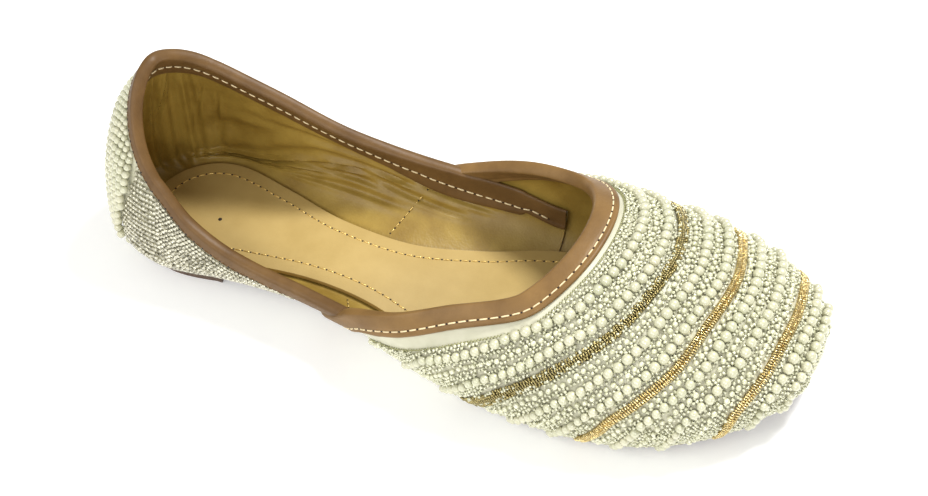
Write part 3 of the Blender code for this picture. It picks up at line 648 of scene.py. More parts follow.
# %% The depth of the lining's creases at a place
CREASE_DEPTH = 1.25        # a share of each crease's own depth
DEEPEST = 0.0013           # creases that cross stay inside the wall
RIDGE = 0.55               # height of the ridge on each side of a crease, as a share of its depth
RIDGE_AWAY = 1.9           # and how far beside it that ridge lies, in widths of the crease
RUN_OUT = 0.2              # how far a crease goes on past its ends, as a share of its length
RUN_OUT_FADE = 0.35        # and over what share of its length it fades


def crease_sink(crease, share, beside):
    """Depth of one crease, less its ridges, at a share of its length and a distance beside it."""
    if not -RUN_OUT < share < 1 + RUN_OUT or abs(beside) >= crease.width * 4:
        return 0.0
    fade = ease((share + RUN_OUT) / RUN_OUT_FADE) * ease((1 + RUN_OUT - share) / RUN_OUT_FADE)
    ridges = RIDGE * hump(abs(beside) - crease.width * RIDGE_AWAY, crease.width)
    return CREASE_DEPTH * crease.depth * fade * (hump(beside, crease.width) - ridges)


def creased(around, low):
    """How far the lining sinks at a place of the quarter."""
    sink = 0.0
    for crease in UPRIGHT_CREASES:
        share = (low - crease.low0) / (crease.low1 - crease.low0)
        sink += crease_sink(crease, share, around - mix(crease.around0, crease.around1, share))
    for crease in LEVEL_CREASES:
        share = (around - crease.around0) / (crease.around1 - crease.around0)
        sink += crease_sink(crease, share, low - mix(crease.low0, crease.low1, share))
    return sink if sink < 0 else DEEPEST * (1 - exp(-sink / DEEPEST))


# %% A wall from two sheets
TUCK = 0.004               # how far the wall turns in under the sock
SATIN_FACES = 0            # places of the two finishes in a wall's list
LINING_FACES = 1


def level_inward(foot, inside_x):
    """Level direction from a point of the foot's line to the middle of the shoe."""
    return Vector((inside_x - foot.x, -foot.y, 0)).normalized()


def turned_under(foot):
    """The outer and the inner point at which the wall ends under the sock."""
    outside = foot + level_inward(foot, min(max(foot.x, station_x(0)), station_x(TOE_START))) * TUCK
    return outside, outside + Vector((0, 0, WALL))


def make_wall(name, outer, inner):
    """Satin outside and lining inside, joined along their borders."""
    rows, columns = len(outer), len(outer[0])
    count = rows * columns
    places = [place for sheet in (outer, inner) for row in sheet for place in row]
    satin_faces = grid_faces(rows, columns)
    faces = satin_faces + [tuple(count + index for index in face)[::-1] for face in satin_faces]
    shades = [SATIN_FACES] * len(satin_faces) + [LINING_FACES] * len(satin_faces)
    borders = (
        [i * columns for i in range(rows)],
        [i * columns + columns - 1 for i in range(rows)],
        list(range(columns)),
        [(rows - 1) * columns + j for j in range(columns)],
    )
    for border in borders:
        faces += [(a, b, count + b, count + a) for a, b in zip(border, border[1:])]
        shades += [SATIN_FACES] * (len(border) - 1)
    return outward(make_mesh(name, places, faces, [satin, lining_leather], shades, SHARP_WALL))


# %% The quarter's wall
SIDE_COLUMNS = 110         # steps along each side
HEEL_COLUMNS = 190         # and round the heel
QUARTER_ROWS = 58          # and from the collar down to the foot


def quarter_low(around, share):
    """The angle a share of the way from the collar's edge to the foot."""
    return mix(collar_angle(around), FOOT_ANGLE, share)


def make_quarter():
    side = [i / SIDE_COLUMNS for i in range(SIDE_COLUMNS)]
    heel = [i / HEEL_COLUMNS for i in range(HEEL_COLUMNS + 1)]
    shares = [i / QUARTER_ROWS for i in range(QUARTER_ROWS + 1)]
    outer, inner = [], []
    for around in [share - 1 for share in side] + heel + [2 - share for share in side[::-1]]:
        points = [quarter_point(around, quarter_low(around, share)) for share in shares]
        lining = [off(point, -WALL + creased(around, share)) for point, share in zip(points, shares)]
        outer_end, inner_end = turned_under(points[-1].place)
        outer.append([point.place for point in points] + [outer_end])
        inner.append(lining + [inner_end])
    return make_wall("quarter_wall", outer, inner)


quarter_wall = make_quarter()
print("quarter wall:", len(quarter_wall.data.polygons), "faces")

# %% The vamp's wall
VAMP_COLUMNS = 64          # steps from the crown to the foot on each side
VAMP_ROWS = 70
TOE_CROWDING = 1.4         # rows lie closer together where the toe turns down


def make_vamp():
    acrosses = [i / VAMP_COLUMNS for i in range(-VAMP_COLUMNS, VAMP_COLUMNS + 1)]
    outer, inner = [], []
    for row in [1 - (1 - i / VAMP_ROWS) ** TOE_CROWDING for i in range(VAMP_ROWS + 1)]:
        points = [vamp_point(across, row) for across in acrosses]
        lateral_end = turned_under(points[0].place)
        medial_end = turned_under(points[-1].place)
        outer.append([lateral_end[0]] + [off(point, WALL / 2) for point in points] + [medial_end[0]])
        inner.append([lateral_end[1]] + [off(point, -WALL / 2) for point in points] + [medial_end[1]])
    return make_wall("vamp_wall", outer, inner)


vamp_wall = make_vamp()
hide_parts("upper")
print("vamp wall:", len(vamp_wall.data.polygons), "faces")

# %% [markdown]
# ## The bindings
#
# A strip of brown leather is folded over each cut edge and sewn through. It could be a curve with a
# bevel, but a folded strip isn't round: it has a soft roll on top and two flat lips, and its lips differ
# in width. So each strip is a row of sections, and each section is a short list of distances down the
# wall and out from it. Where the vamp passes over the quarter there is no room between them, and there
# the lips fade away, as they do on the real shoe, where the maker cuts them short.

# %% Distances from the throat's edge
BINDING_WIDTH = 0.0078
BINDING_THICKNESS = 0.0010
BINDING_ROLL = 0.0014
BINDING_END = 0.97
DISTANCES = (0.0, 0.002, 0.004, 0.006, BINDING_WIDTH, 0.012)
EDGE_STEPS = 60            # the distances are measured in this many steps from the crown to each end


@lru_cache(maxsize=None)
def throat_edge():
    """Points along the throat's edge, and on past its ends."""
    places = [vamp_surface(i / 80, 0) for i in range(-80, 81)]
    for end, before in ((places[0], places[1]), (places[-1], places[-2])):
        places += [end + (end - before) * k for k in range(1, 12)]
    return np.array(places)


def nearest_edge(place):
    return float(np.sqrt(((throat_edge() - np.array(place)) ** 2).sum(axis=1).min()))


def row_at_distance(across, distance):
    low, high = 0.0, 0.6
    for _ in range(14):
        row = (low + high) / 2
        if nearest_edge(vamp_surface(across, row)) < distance:
            low = row
        else:
            high = row
    return low


DISTANCE_ROWS = [
    [row_at_distance(i / EDGE_STEPS, distance) for distance in DISTANCES]
    for i in range(-EDGE_STEPS, EDGE_STEPS + 1)
]


def throat_row(across, distance):
    """The vamp row at a distance from the throat's edge."""
    place = (across + 1) * EDGE_STEPS
    low = min(int(floor(place)), 2 * EDGE_STEPS - 1)
    rows = [float(np.interp(distance, DISTANCES, DISTANCE_ROWS[i])) for i in (low, low + 1)]
    return mix(rows[0], rows[1], place - low)


print("binding's edge at the crown is row", round(throat_row(0, BINDING_WIDTH), 3))

# %% Where the vamp passes over the quarter
def quarter_share(x, side):
    back, front = station_x(0), station_x(QUARTER_FRONT)
    share = min(max((x - back) / (front - back), 0.0), 1.0)
    return -share if side == LATERAL else 1 + share


def above_collar(across, row):
    place = vamp_surface(across, row)
    side = LATERAL if across < 0 else MEDIAL
    return place.z - BACK_HEIGHT * through(COLLAR, quarter_share(place.x, side)).height


HIDDEN = 0.0030            # how deep under the other strip a lip starts to thin out
FADE = 0.0025              # and over what length
NO_LIP = -0.7 * GAP


def cover(nearest, at_edge):
    """The share of a lip that is left, and how far the strip has moved aside under the other one."""
    return ease((nearest + HIDDEN + FADE) / FADE), ease(-(at_edge + HIDDEN) / FADE)


def throat_cover(across):
    heights = [above_collar(across, throat_row(across, d)) for d in (0.0, BINDING_WIDTH / 2, BINDING_WIDTH)]
    return cover(min(heights), heights[0])


COLLAR_LIP = 0.0045
LIP_SHARE = 0.50           # a lip is never wider than this share of the wall, or of the wider lip
FLANGE = 0.0024            # how much wider the collar's inner lip is where the wall is high
HIGH_WALL = 0.020          # the extra width starts on a wall this high, and is full on one twice as high


def lip_widths(around):
    rib = quarter_rib(around)
    wall = (rib.at(collar_angle(around)) - rib.foot).length
    inner = min(BINDING_WIDTH, LIP_SHARE * wall)
    flange = inner + FLANGE * ease((wall - HIGH_WALL) / HIGH_WALL)
    return flange, min(COLLAR_LIP, LIP_SHARE * inner)


def angle_down(around, angle, distance):
    rate = (quarter_surface(around, angle + 0.5) - quarter_surface(around, angle)).length / 0.5
    return min(angle + distance / rate, FOOT_ANGLE)


def behind_throat(place, side):
    low, high = 0.0, 1.0
    for _ in range(20):
        across = (low + high) / 2
        if vamp_surface(side * across, 0).z > place.z:
            low = across
        else:
            high = across
    distance = nearest_edge(place)
    return distance if row_x(low, 0) > place.x else -distance


def collar_cover(around):
    side = LATERAL if around < 0.5 else MEDIAL
    angle, lip = collar_angle(around), lip_widths(around)[0]
    places = [quarter_surface(around, angle_down(around, angle, lip * share)) for share in (0.0, 0.5, 1.0)]
    distances = [behind_throat(place, side) for place in places]
    return cover(min(distances), distances[0])


# %% A folded strip's section
STITCH_GROOVE = 0.00022    # how far thread pulls a lip in
GROOVE_WIDTH = 0.0006
LIP_SHARES = (1.0, 0.985, 0.94, 0.86, 0.78, 0.70, 0.62, 0.54, 0.44, 0.32, 0.16, 0.0)
LIP_ROUND = 0.93           # past this share of its width a lip's face rounds off


def lip_line(place_at, lip, face, side, groove, rounding):
    """Points of one lip's face, from its edge to the roll. A groove is the distance down to a stitch line."""
    reach = lip + GAP
    line = []
    for share in LIP_SHARES:
        down = -GAP + reach * share
        out = face - side * rounding * max((share - LIP_ROUND) / (1 - LIP_ROUND), 0.0) ** 2
        if groove and reach > 0.002:
            out -= side * STITCH_GROOVE * hump(down - groove, GROOVE_WIDTH)
        line.append(place_at(down, out))
    return line


def strip_section(place_at, lip_out, lip_in, top, bottom, groove_out, groove_in):
    """Points round a folded strip: outer lip, roll, inner lip, and back along the wall's two faces."""
    thick = min(BINDING_THICKNESS, (top - bottom) * 0.45)
    middle, half = (top + bottom) / 2, (top - bottom) / 2
    outer_lip = lip_line(place_at, lip_out, top, 1, groove_out, thick / 2)
    inner_lip = lip_line(place_at, lip_in, bottom, -1, groove_in, thick / 2)
    roll = []
    for degrees in range(18, 180, 18):
        turn = radians(degrees)
        roll.append(place_at(-GAP - BINDING_ROLL * sin(turn), middle + half * cos(turn)))
    back = [place_at(lip_in, bottom + thick), place_at(-GAP, bottom + thick)]
    back += [place_at(-GAP, top - thick), place_at(lip_out, top - thick)]
    return outer_lip + roll + inner_lip[::-1] + back


# %% The throat binding
THROAT_LIP = 0.0068
THROAT_STITCH = 0.0048     # stitch line's distance from the throat's edge
THROAT_TOP = WALL / 2 + GAP + BINDING_THICKNESS


def throat_place(across, down, out):
    edge = vamp_point(across, 0)
    if down <= 0:
        inwards = (vamp_surface(across, 0) - vamp_surface(across, 0.01)).normalized()
        return off(edge, out) - inwards * down
    return off(vamp_point(across, throat_row(across, down)), out)


THROAT_SECTIONS = 240


def make_throat_binding():
    sections = []
    for across in [mix(-BINDING_END, BINDING_END, i / THROAT_SECTIONS) for i in range(THROAT_SECTIONS + 1)]:
        left, moved = throat_cover(across)
        bottom = mix(-THROAT_TOP, GAP, moved)
        lip_in = mix(NO_LIP, THROAT_LIP, left)
        place_at = partial(throat_place, across)
        sections.append(strip_section(
            place_at, THROAT_LIP, lip_in, THROAT_TOP, bottom, THROAT_STITCH, THROAT_STITCH
        ))
    return lofted("throat_binding_strip", sections, throat_leather, SHARP_STRIP)


throat_strip = make_throat_binding()
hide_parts("throat_binding")
print("throat binding:", len(throat_strip.data.polygons), "faces")

# %% The collar binding
COLLAR_STITCH = 0.0052
COLLAR_TOP = GAP + BINDING_THICKNESS
COLLAR_BOTTOM = -WALL - GAP - BINDING_THICKNESS


def collar_place(around, down, out):
    angle = collar_angle(around)
    edge = quarter_point(around, angle)
    if down <= 0:
        up = (quarter_surface(around, angle - 1) - edge.place).normalized()
        return off(edge, out) - up * down
    return off(quarter_point(around, angle_down(around, angle, down)), out)


COLLAR_SECTIONS = 330


def make_collar_binding():
    sections = []
    for around in [mix(-1.0, 2.0, i / COLLAR_SECTIONS) for i in range(COLLAR_SECTIONS + 1)]:
        inner, outer = lip_widths(around)
        shown, moved = collar_cover(around)
        top = mix(COLLAR_TOP, -WALL / 2 - 2 * GAP, moved)
        place_at = partial(collar_place, around)
        sections.append(strip_section(
            place_at, mix(NO_LIP, outer, shown), inner, top, COLLAR_BOTTOM, None, COLLAR_STITCH
        ))
    return lofted("collar_binding_strip", sections, binding_leather, SHARP_STRIP)


collar_strip = make_collar_binding()
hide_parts("collar_binding")
print("collar binding:", len(collar_strip.data.polygons), "faces")

# %% [markdown]
# ## Pearls
#
# Strings of pearls lie across the vamp, each couched down with a thread between two beads. A particle
# system or Geometry Nodes could scatter them, but the rows must follow the last and start and end where
# the sewer stopped, so a loop walks along each row and sets a pearl at every step. The size of imitation
# pearls varies by a few hundredths, and a row of equal balls looks machine made, so each one differs.

# %% Rows across the vamp
Trim = namedtuple("Trim", "row reach")
PEARL_STRINGS = (
    Trim(0.195, 0.80), Trim(0.300, 0.84), Trim(0.465, 0.92), Trim(0.550, 0.94),
    Trim(0.680, 0.95), Trim(0.765, 0.95), Trim(0.912, 0.95), Trim(0.958, 0.95),
)
GOLD_CORDS = (Trim(0.365, 0.95), Trim(0.610, 0.96), Trim(0.862, 0.96))
PEARL = 0.0036             # at the crown
END_PEARL = 0.0029         # at the ends of a string
ROUND_STAND = 0.94         # how high a round bead's centre stands, as a share of its radius
SATIN_FACE = WALL / 2
chance = Random(7)


def along_row(across, row):
    """A point of a row on the vamp, with the row's direction and the level direction beside it."""
    point = vamp_point(across, row)
    along = vamp_surface(min(across + 0.01, 1), row) - vamp_surface(max(across - 0.01, -1), row)
    return point, along.normalized(), point.normal.cross(along).normalized()


def vamp_spot(across, row, size, lift, jitter, tilt):
    """A spot on a row of the vamp, with the string's direction as x and the way out as z."""
    point, along, side = along_row(across, row)
    aside = side * jitter * chance.uniform(-1, 1)
    along = along + (side * chance.uniform(-1, 1) + point.normal * chance.uniform(-1, 1)) * tilt
    return frame_spot(off(point, SATIN_FACE + lift) + aside, along, point.normal, (size, size, size))


def pearl_size(across):
    return mix(PEARL, END_PEARL, ease((abs(across) - 0.30) / 0.45))


def pearl_template():
    """A ball with a small dimple at each end of its bore, of radius 1."""
    profile = [(-0.90, 0.10), (-0.97, 0.20)]
    profile += [(-cos(radians(a)), sin(radians(a))) for a in range(25, 156, 13)]
    profile += [(0.97, 0.20), (0.90, 0.10)]
    return turned(profile, 12)


def seed_template():
    """A short bead with a bore and round shoulders, of radius 1."""
    return turned(((-0.66, 0.42), (-0.56, 0.96), (0.56, 0.96), (0.66, 0.42)), 6)


SEED_SHAPE = seed_template()
PEARL_SHAPE = pearl_template()
print("faces of a pearl and of a seed bead:", len(PEARL_SHAPE[1]), len(SEED_SHAPE[1]))

# %% Sew the strings of pearls
placed = []                # (place, radius) of every bead on the vamp
for number, trim in enumerate(PEARL_STRINGS, 1):
    spots = []
    for across in walk(lambda value: vamp_surface(value, trim.row), -trim.reach, trim.reach, pearl_size):
        radius = pearl_size(across) / 2 * (0.98 + 0.05 * chance.uniform(-1, 1))
        spots.append(vamp_spot(across, trim.row, radius, radius * ROUND_STAND, jitter=0.00018, tilt=0.05))
        placed.append((spots[-1].place, radius))
    piece = scattered(f"pearls_{number}", PEARL_SHAPE, spots, pearl)
    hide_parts(f"pearl_string_{number}")

# %% [markdown]
# ## Gold cords
#
# The three dark and bright lines are bullion: fine wire wound into a spring, cut and sewn down like a
# bead. A band with a bump map would look painted on, so each strand is a real helix. The first line is
# one dark strand with small beads along it, and each of the others is two bright strands side by side.

# %% Wind the wire
STEPS_PER_TURN = 9
WIRE_SIDES = 4
STRAND_STEPS = 120


def coil_mesh(places, normals, radius, wire, pitch):
    """Points and faces of a wire wound round a path."""
    places = np.array(places)
    normals = np.array(normals)
    steps = np.linalg.norm(np.diff(places, axis=0), axis=1)
    lengths = np.concatenate([[0.0], np.cumsum(steps)])
    count = int(lengths[-1] / pitch * STEPS_PER_TURN)
    at = np.linspace(0, lengths[-1], count)
    core = np.stack([np.interp(at, lengths, places[:, k]) for k in range(3)], axis=1)
    up = np.stack([np.interp(at, lengths, normals[:, k]) for k in range(3)], axis=1)
    along = np.gradient(core, axis=0)
    along /= np.linalg.norm(along, axis=1)[:, None]
    beside = np.cross(along, up)
    beside /= np.linalg.norm(beside, axis=1)[:, None]
    up = np.cross(beside, along)
    turn = 2 * pi * at / pitch
    outward_way = np.cos(turn)[:, None] * up + np.sin(turn)[:, None] * beside
    line = core + radius * outward_way
    way = np.gradient(line, axis=0)
    way /= np.linalg.norm(way, axis=1)[:, None]
    third = np.cross(way, outward_way)
    rings = []
    for k in range(WIRE_SIDES):
        angle = 2 * pi * (k + 0.5) / WIRE_SIDES
        rings.append(line + wire * (cos(angle) * outward_way + sin(angle) * third))
    points = np.stack(rings, axis=1).reshape(-1, 3)
    return points, grid_faces(count, WIRE_SIDES, closed=True)


def wound(name, strands, radius, wire, pitch, finish):
    """Several coiled strands in one piece. A strand is a list of places and a list of normals."""
    points, faces = [], []
    for places, normals in strands:
        own, own_faces = coil_mesh(places, normals, radius, wire, pitch)
        start = sum(len(part) for part in points)
        points.append(own)
        faces += [tuple(start + index for index in face) for face in own_faces]
    piece = make_mesh(name, np.concatenate(points), faces, [finish])
    print(f"{name}: {len(strands)} strands, {len(faces)} faces")
    return piece


def row_strand(row, reach, beside, lift):
    """Path of a strand that lies beside a row."""
    places, normals = [], []
    for across in [mix(-reach, reach, i / STRAND_STEPS) for i in range(STRAND_STEPS + 1)]:
        point, _, side = along_row(across, row)
        places.append(off(point, SATIN_FACE + lift) + side * beside)
        normals.append(point.normal)
    return places, normals


# %% Small beads along the first cord
BESIDE_CORD = (-0.0165, -0.0090, 0.0090, 0.0165)   # their rows, from the cord's own row
DARK_RADIUS = 0.00055
DARK_PITCH = 0.0010
DARK_SHARE = 0.74          # the others are clear


def dark_beads(trim):
    """Old gold and clear beads sewn at random along both sides of the first cord."""
    dark, clear = [], []
    for row in [trim.row + step for step in BESIDE_CORD]:
        for across in walk(lambda value: vamp_surface(value, row), -trim.reach, trim.reach, DARK_PITCH):
            size = DARK_RADIUS * chance.uniform(0.85, 1.15)
            lift = 0.0009 + 0.0003 * chance.random()
            spot = vamp_spot(across, row, size, lift, jitter=0.00015, tilt=0.9)
            (dark if chance.random() < DARK_SHARE else clear).append(spot)
    for name, group, finish, slot in (
        ("cord_dark_beads", dark, old_gold, "gold"), ("cord_clear_beads", clear, glass, "beads"),
    ):
        scattered(name, SEED_SHAPE, group, finish)
    return [(spot.place, 0.0006) for spot in dark + clear]


# %% Lay the cords
COIL_RADIUS = 0.00070
WIRE_RADIUS = 0.00028
COIL_PITCH = 0.00085
STRAND_APART = 2.15        # from one strand to the next, in radii
CORD_STRANDS = (1, 2, 2)
CORD_FINISH = (old_gold, bright_gold, bright_gold)

for number, (trim, count, finish) in enumerate(zip(GOLD_CORDS, CORD_STRANDS, CORD_FINISH), 1):
    sides = [(i - (count - 1) / 2) * COIL_RADIUS * STRAND_APART for i in range(count)]
    strands = [row_strand(trim.row, trim.reach, side, COIL_RADIUS + WIRE_RADIUS) for side in sides]
    if number == 1:
        placed += dark_beads(trim)
    piece = wound(f"gold_coil_{number}", strands, COIL_RADIUS, WIRE_RADIUS, COIL_PITCH, finish)
    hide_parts(f"gold_cord_{number}")
    placed += [(place, COIL_RADIUS * 1.2) for places, _ in strands for place in places]

# %% [markdown]
# ## Seed beads
#
# Between the pearls the satin is filled with clear beads lined with silver: a row of larger round ones
# between two strings, and small seed beads all round them. They are strung in rows too, but the rows run
# out where the space closes. So the loop offers more rows than fit, and leaves out each bead that would run
# into one that is already there. A search tree finds the neighbours.

# %% Keep what fits
NEARBY = 0.0035            # no bead that touches another one is farther away
CELL = 0.002               # wider than two beads of one row are apart
NEIGHBOURS = list(product((-1, 0, 1), repeat=3))


def without_crowding(spots, radius, others, closeness):
    """The spots that keep clear of other beads and of each other."""
    tree = KDTree(len(others) + 1)
    for index, (place, _) in enumerate(others):
        tree.insert(place, index)
    tree.insert(Vector((9, 9, 9)), len(others))   # far away, so that the tree is never empty
    tree.balance()
    kept, cells = [], {}
    for spot in spots:
        near = tree.find_range(spot.place, NEARBY)
        if any((radius + others[index][1]) * closeness > distance for _, index, distance in near):
            continue
        x, y, z = (int(floor(value / CELL)) for value in spot.place)
        rivals = [place for i, j, k in NEIGHBOURS for place in cells.get((x + i, y + j, z + k), ())]
        if any((spot.place - place).length < radius * 2 * closeness for place in rivals):
            continue
        cells.setdefault((x, y, z), []).append(spot.place)
        kept.append(spot)
    return kept


# %% Offer the seed beads
SEED = 0.0013
SEED_ROWS_END = 0.985      # the last row, close to the toe tip
BARE_NARROW = 0.0018       # bare satin beside the throat binding
BARE_WIDE = 0.0046         # and low on the lateral side


def bare_strip(across):
    """Width of the bare satin beside the throat binding."""
    return mix(BARE_NARROW, BARE_WIDE, ease((-across - 0.25) / 0.35))


def seed_rows():
    """Rows closer together than beads fit, all the way from the throat binding to the toe."""
    return walk(lambda row: vamp_surface(0, row), throat_row(0, THROAT_LIP), SEED_ROWS_END, SEED * 0.60)


def seed_reach(row):
    """How far a row runs from the crown. Rows near the throat stop short of the sole."""
    return mix(0.80, 0.965, ease((row - 0.12) / 0.30))


candidates = []
for row in seed_rows():
    reach = seed_reach(row)
    for across in walk(lambda value: vamp_surface(value, row), -reach, reach, SEED * 0.98):
        size = SEED / 2 * chance.uniform(0.80, 1.12)
        lift = SEED * chance.uniform(0.40, 0.70)
        spot = vamp_spot(across, row, size, lift, jitter=0.0003, tilt=0.7)
        if nearest_edge(spot.place) > THROAT_LIP + bare_strip(across) + SEED * 0.6:
            candidates.append(spot)
print("seed beads offered:", len(candidates))

# %% Rows of larger clear beads, then the seed beads round them
ROUND = 0.0019
ROUND_ROWS = (0.120, 0.248, 0.415, 0.508, 0.645, 0.722, 0.815)
ROUND_REACH = 0.90
ROUND_CLEAR = 0.005        # their distance from the throat binding

rounds = []
for row in ROUND_ROWS:
    for across in walk(lambda value: vamp_surface(value, row), -ROUND_REACH, ROUND_REACH, ROUND * 1.35):
        size = ROUND / 2 * chance.uniform(0.88, 1.08)
        spot = vamp_spot(across, row, size, size * ROUND_STAND, jitter=0.0004, tilt=0.1)
        if nearest_edge(spot.place) > THROAT_LIP + ROUND_CLEAR:
            rounds.append(spot)
rounds = without_crowding(rounds, ROUND / 2, placed, closeness=0.90)
round_piece = scattered("vamp_rounds", PEARL_SHAPE, rounds, glass)
placed += [(spot.place, ROUND / 2) for spot in rounds]
seeds = without_crowding(candidates, SEED / 2, placed, closeness=0.78)
seed_piece = scattered("vamp_seeds", SEED_SHAPE, seeds, glass)

# %% The chain of thread between the bare strip and the beads
CHAIN_REACH = 0.80
CHAIN_STEPS = 160
CHAIN_RADIUS = 0.00028
CHAIN_THREAD = 0.00016
CHAIN_PITCH = 0.0011

places, normals = [], []
for across in [mix(-CHAIN_REACH, CHAIN_REACH, i / CHAIN_STEPS) for i in range(CHAIN_STEPS + 1)]:
    point = vamp_point(across, throat_row(across, THROAT_LIP + bare_strip(across)))
    places.append(off(point, SATIN_FACE + 0.0003))
    normals.append(point.normal)
chain = wound("throat_chain", [(places, normals)], CHAIN_RADIUS, CHAIN_THREAD, CHAIN_PITCH, chain_thread)

# %% [markdown]
# ## The heel and the sides
#
# The back of the quarter is a solid field of pearls in upright columns, smaller beside the collar and larger
# below, and the field narrows towards the sole. Each side is filled with rows of clear beads that run level
# with the collar and turn down beside the pearls. A flat sheet of beads could be bent round the heel, but it
# would stretch and crowd. So each line is walked by itself, with a pitch that follows the size of its beads.

# %% The field of pearls
PANEL_LOW = 124.0
PANEL_STEP = 0.0012
HEEL_PEARL = 0.0030
HEEL_PEARL_STAND = 0.0034 + GAP
FIRST_PEARL = 0.0023       # a pearl next to the collar
FIRST_STAND = 0.0016
GROWS_OVER = 0.014         # the distance down in which pearls reach their full size
PEARL_FIELD = (0.11, 0.89)  # where the field begins and ends beside the collar
FIELD_NARROWS = 0.11       # and how far each border has moved in lower down
NARROWED_AT = 0.6          # at this share of the height


def panel_top(around):
    top = collar_angle(around)
    outer = lip_widths(around)[1]
    return min(angle_down(around, top, outer + PANEL_STEP), mix(top, PANEL_LOW, 0.70))


def pearl_border(around, angle):
    """How far a place lies inside the field of pearls, as a share of the way round."""
    top = panel_top(around)
    moved = FIELD_NARROWS * ease((angle - top) / (PANEL_LOW - top) / NARROWED_AT)
    return min(around - PEARL_FIELD[0], PEARL_FIELD[1] - around) - moved


def grown(around, angle):
    """The share of its full size that a pearl has, from 0 at the collar to 1 lower down."""
    below = (quarter_surface(around, angle) - quarter_surface(around, panel_top(around))).length
    return ease(below / GROWS_OVER)


def pearl_pitch(around, angle):
    return mix(FIRST_PEARL, HEEL_PEARL, grown(around, angle))


def quarter_spot(around, angle, size, lift, upright, stretch=1.0):
    """A spot on the quarter, with an upright or a level direction as x and the way out as z."""
    point = quarter_point(around, angle)
    if upright:
        along = quarter_surface(around, angle + 1) - quarter_surface(around, angle - 1)
    else:
        along = quarter_surface(around + 0.005, angle) - quarter_surface(around - 0.005, angle)
    return frame_spot(off(point, lift), along, point.normal, (size * stretch, size, size))


# %% Pearls round the heel
heel_spots = []
for around in walk(lambda value: quarter_surface(value, 95), *PEARL_FIELD, HEEL_PEARL * 1.02):
    column = partial(quarter_surface, around)
    for angle in walk(column, panel_top(around) + 2, PANEL_LOW, partial(pearl_pitch, around), 60):
        if pearl_border(around, angle) < 0:
            continue
        size = pearl_pitch(around, angle) / 2 * (1 + chance.uniform(-0.05, 0.05))
        lift = mix(FIRST_STAND, HEEL_PEARL_STAND, grown(around, angle)) - size
        heel_spots.append(quarter_spot(around + chance.uniform(-0.0015, 0.0015), angle, size, lift, True))
heel_spots = without_crowding(heel_spots, FIRST_PEARL / 2, [], closeness=0.86)
heel_pearls = scattered("heel_pearls", PEARL_SHAPE, heel_spots, pearl)
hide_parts("heel_pearl_panel")

# %% Rows of clear beads on the sides
SIDE_BEAD = 0.0013
SIDE_STRETCH = 1.6
SIDE_ROW = 0.0021          # from one row of beads to the next
SIDE_ROWS = range(-12, 28)  # counted from the collar, above which the slanting rows start
ROW_OFFSET = 0.4
CHEVRON = 0.010            # width of the slanting rows beside the pearls
CLEAR_OF_PEARLS = 0.004    # as a share of the way round
BARE_SATIN = 0.0090        # between the foremost beads and the vamp


@lru_cache(maxsize=None)
def wall_lengths(around):
    """Angles below the panel's top, and the lengths down the wall at which they lie."""
    top = panel_top(around)
    angles = [i * (FOOT_ANGLE - top) / 24 for i in range(25)]
    places = [quarter_surface(around, top + angle) for angle in angles]
    lengths = np.concatenate([[0.0], np.cumsum([(b - a).length for a, b in zip(places, places[1:])])])
    return angles, lengths


def row_angle(around, distance):
    """The angle of a row, whose distance is measured down the wall. Beside the pearls the rows turn down."""
    angles, lengths = wall_lengths(round(around * 200) / 200)
    from_pearls = min(abs(around - PEARL_FIELD[0]), abs(around - PEARL_FIELD[1])) * pi * HEEL_REACH
    inside = PEARL_FIELD[0] < around < PEARL_FIELD[1]
    down = distance + (CHEVRON + from_pearls if inside else max(CHEVRON - from_pearls, 0.0))
    return panel_top(around) + float(np.interp(down, lengths, angles))


def row_place(distance, around):
    return quarter_surface(around, min(max(row_angle(around, distance), panel_top(around)), FOOT_ANGLE))


def side_beads(name, start, end, node):
    spots = []
    for i in SIDE_ROWS:
        distance = (i + ROW_OFFSET) * SIDE_ROW
        for around in walk(partial(row_place, distance), start, end, SIDE_BEAD * 1.15, 90):
            angle = row_angle(around, distance)
            on_panel = panel_top(around) < angle < PANEL_LOW + 1
            if on_panel and pearl_border(around, angle) < -CLEAR_OF_PEARLS:
                size = SIDE_BEAD / 2 * (1 + chance.uniform(-0.12, 0.08))
                spots.append(quarter_spot(around, angle, size, SIDE_BEAD * 0.45, False, SIDE_STRETCH))
    pearls = [(spot.place, HEEL_PEARL / 2) for spot in heel_spots]
    kept = without_crowding(spots, SIDE_BEAD / 2, pearls, closeness=0.78)
    piece = scattered(name, SEED_SHAPE, kept, grey_glass)
    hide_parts(node)


side_front = station_x(THROAT_END) - BARE_SATIN
lateral_front = quarter_share(side_front, LATERAL)
medial_front = quarter_share(side_front, MEDIAL)
side_beads("lateral_beads", lateral_front, PEARL_FIELD[0] + FIELD_NARROWS, "lateral_bead_panel")
side_beads("medial_beads", PEARL_FIELD[1] - FIELD_NARROWS, medial_front, "medial_bead_panel")

# %% [markdown]
# ## Stitches
#
# A running stitch is a row of short threads that dive into needle holes at both ends. A painted dash would
# lie flat, so one bent capsule is the template, and each copy is stretched from hole to hole. A dark disc
# at each end is painted with the hole's shade.

# %% Thread from hole to hole
THREAD_STEPS = 8
THREAD_SIDES = 6
HOLE_DEPTH = 0.0002
SHORTEST_STITCH = 0.001


def stitch_template():
    """A thread of length 1 along x and radius 1, with its ends bent down."""
    points = []
    for i in range(THREAD_STEPS + 1):
        share = i / THREAD_STEPS
        drop = -1.5 * abs(2 * share - 1) ** 4
        thin = 0.62 if i in (0, THREAD_STEPS) else 1.0
        for turn in [2 * pi * k / THREAD_SIDES for k in range(THREAD_SIDES)]:
            points.append((share - 0.5, thin * cos(turn), drop + thin * sin(turn)))
    rows = THREAD_STEPS + 1
    return points, grid_faces(rows, THREAD_SIDES, closed=True) + end_faces(rows, THREAD_SIDES)


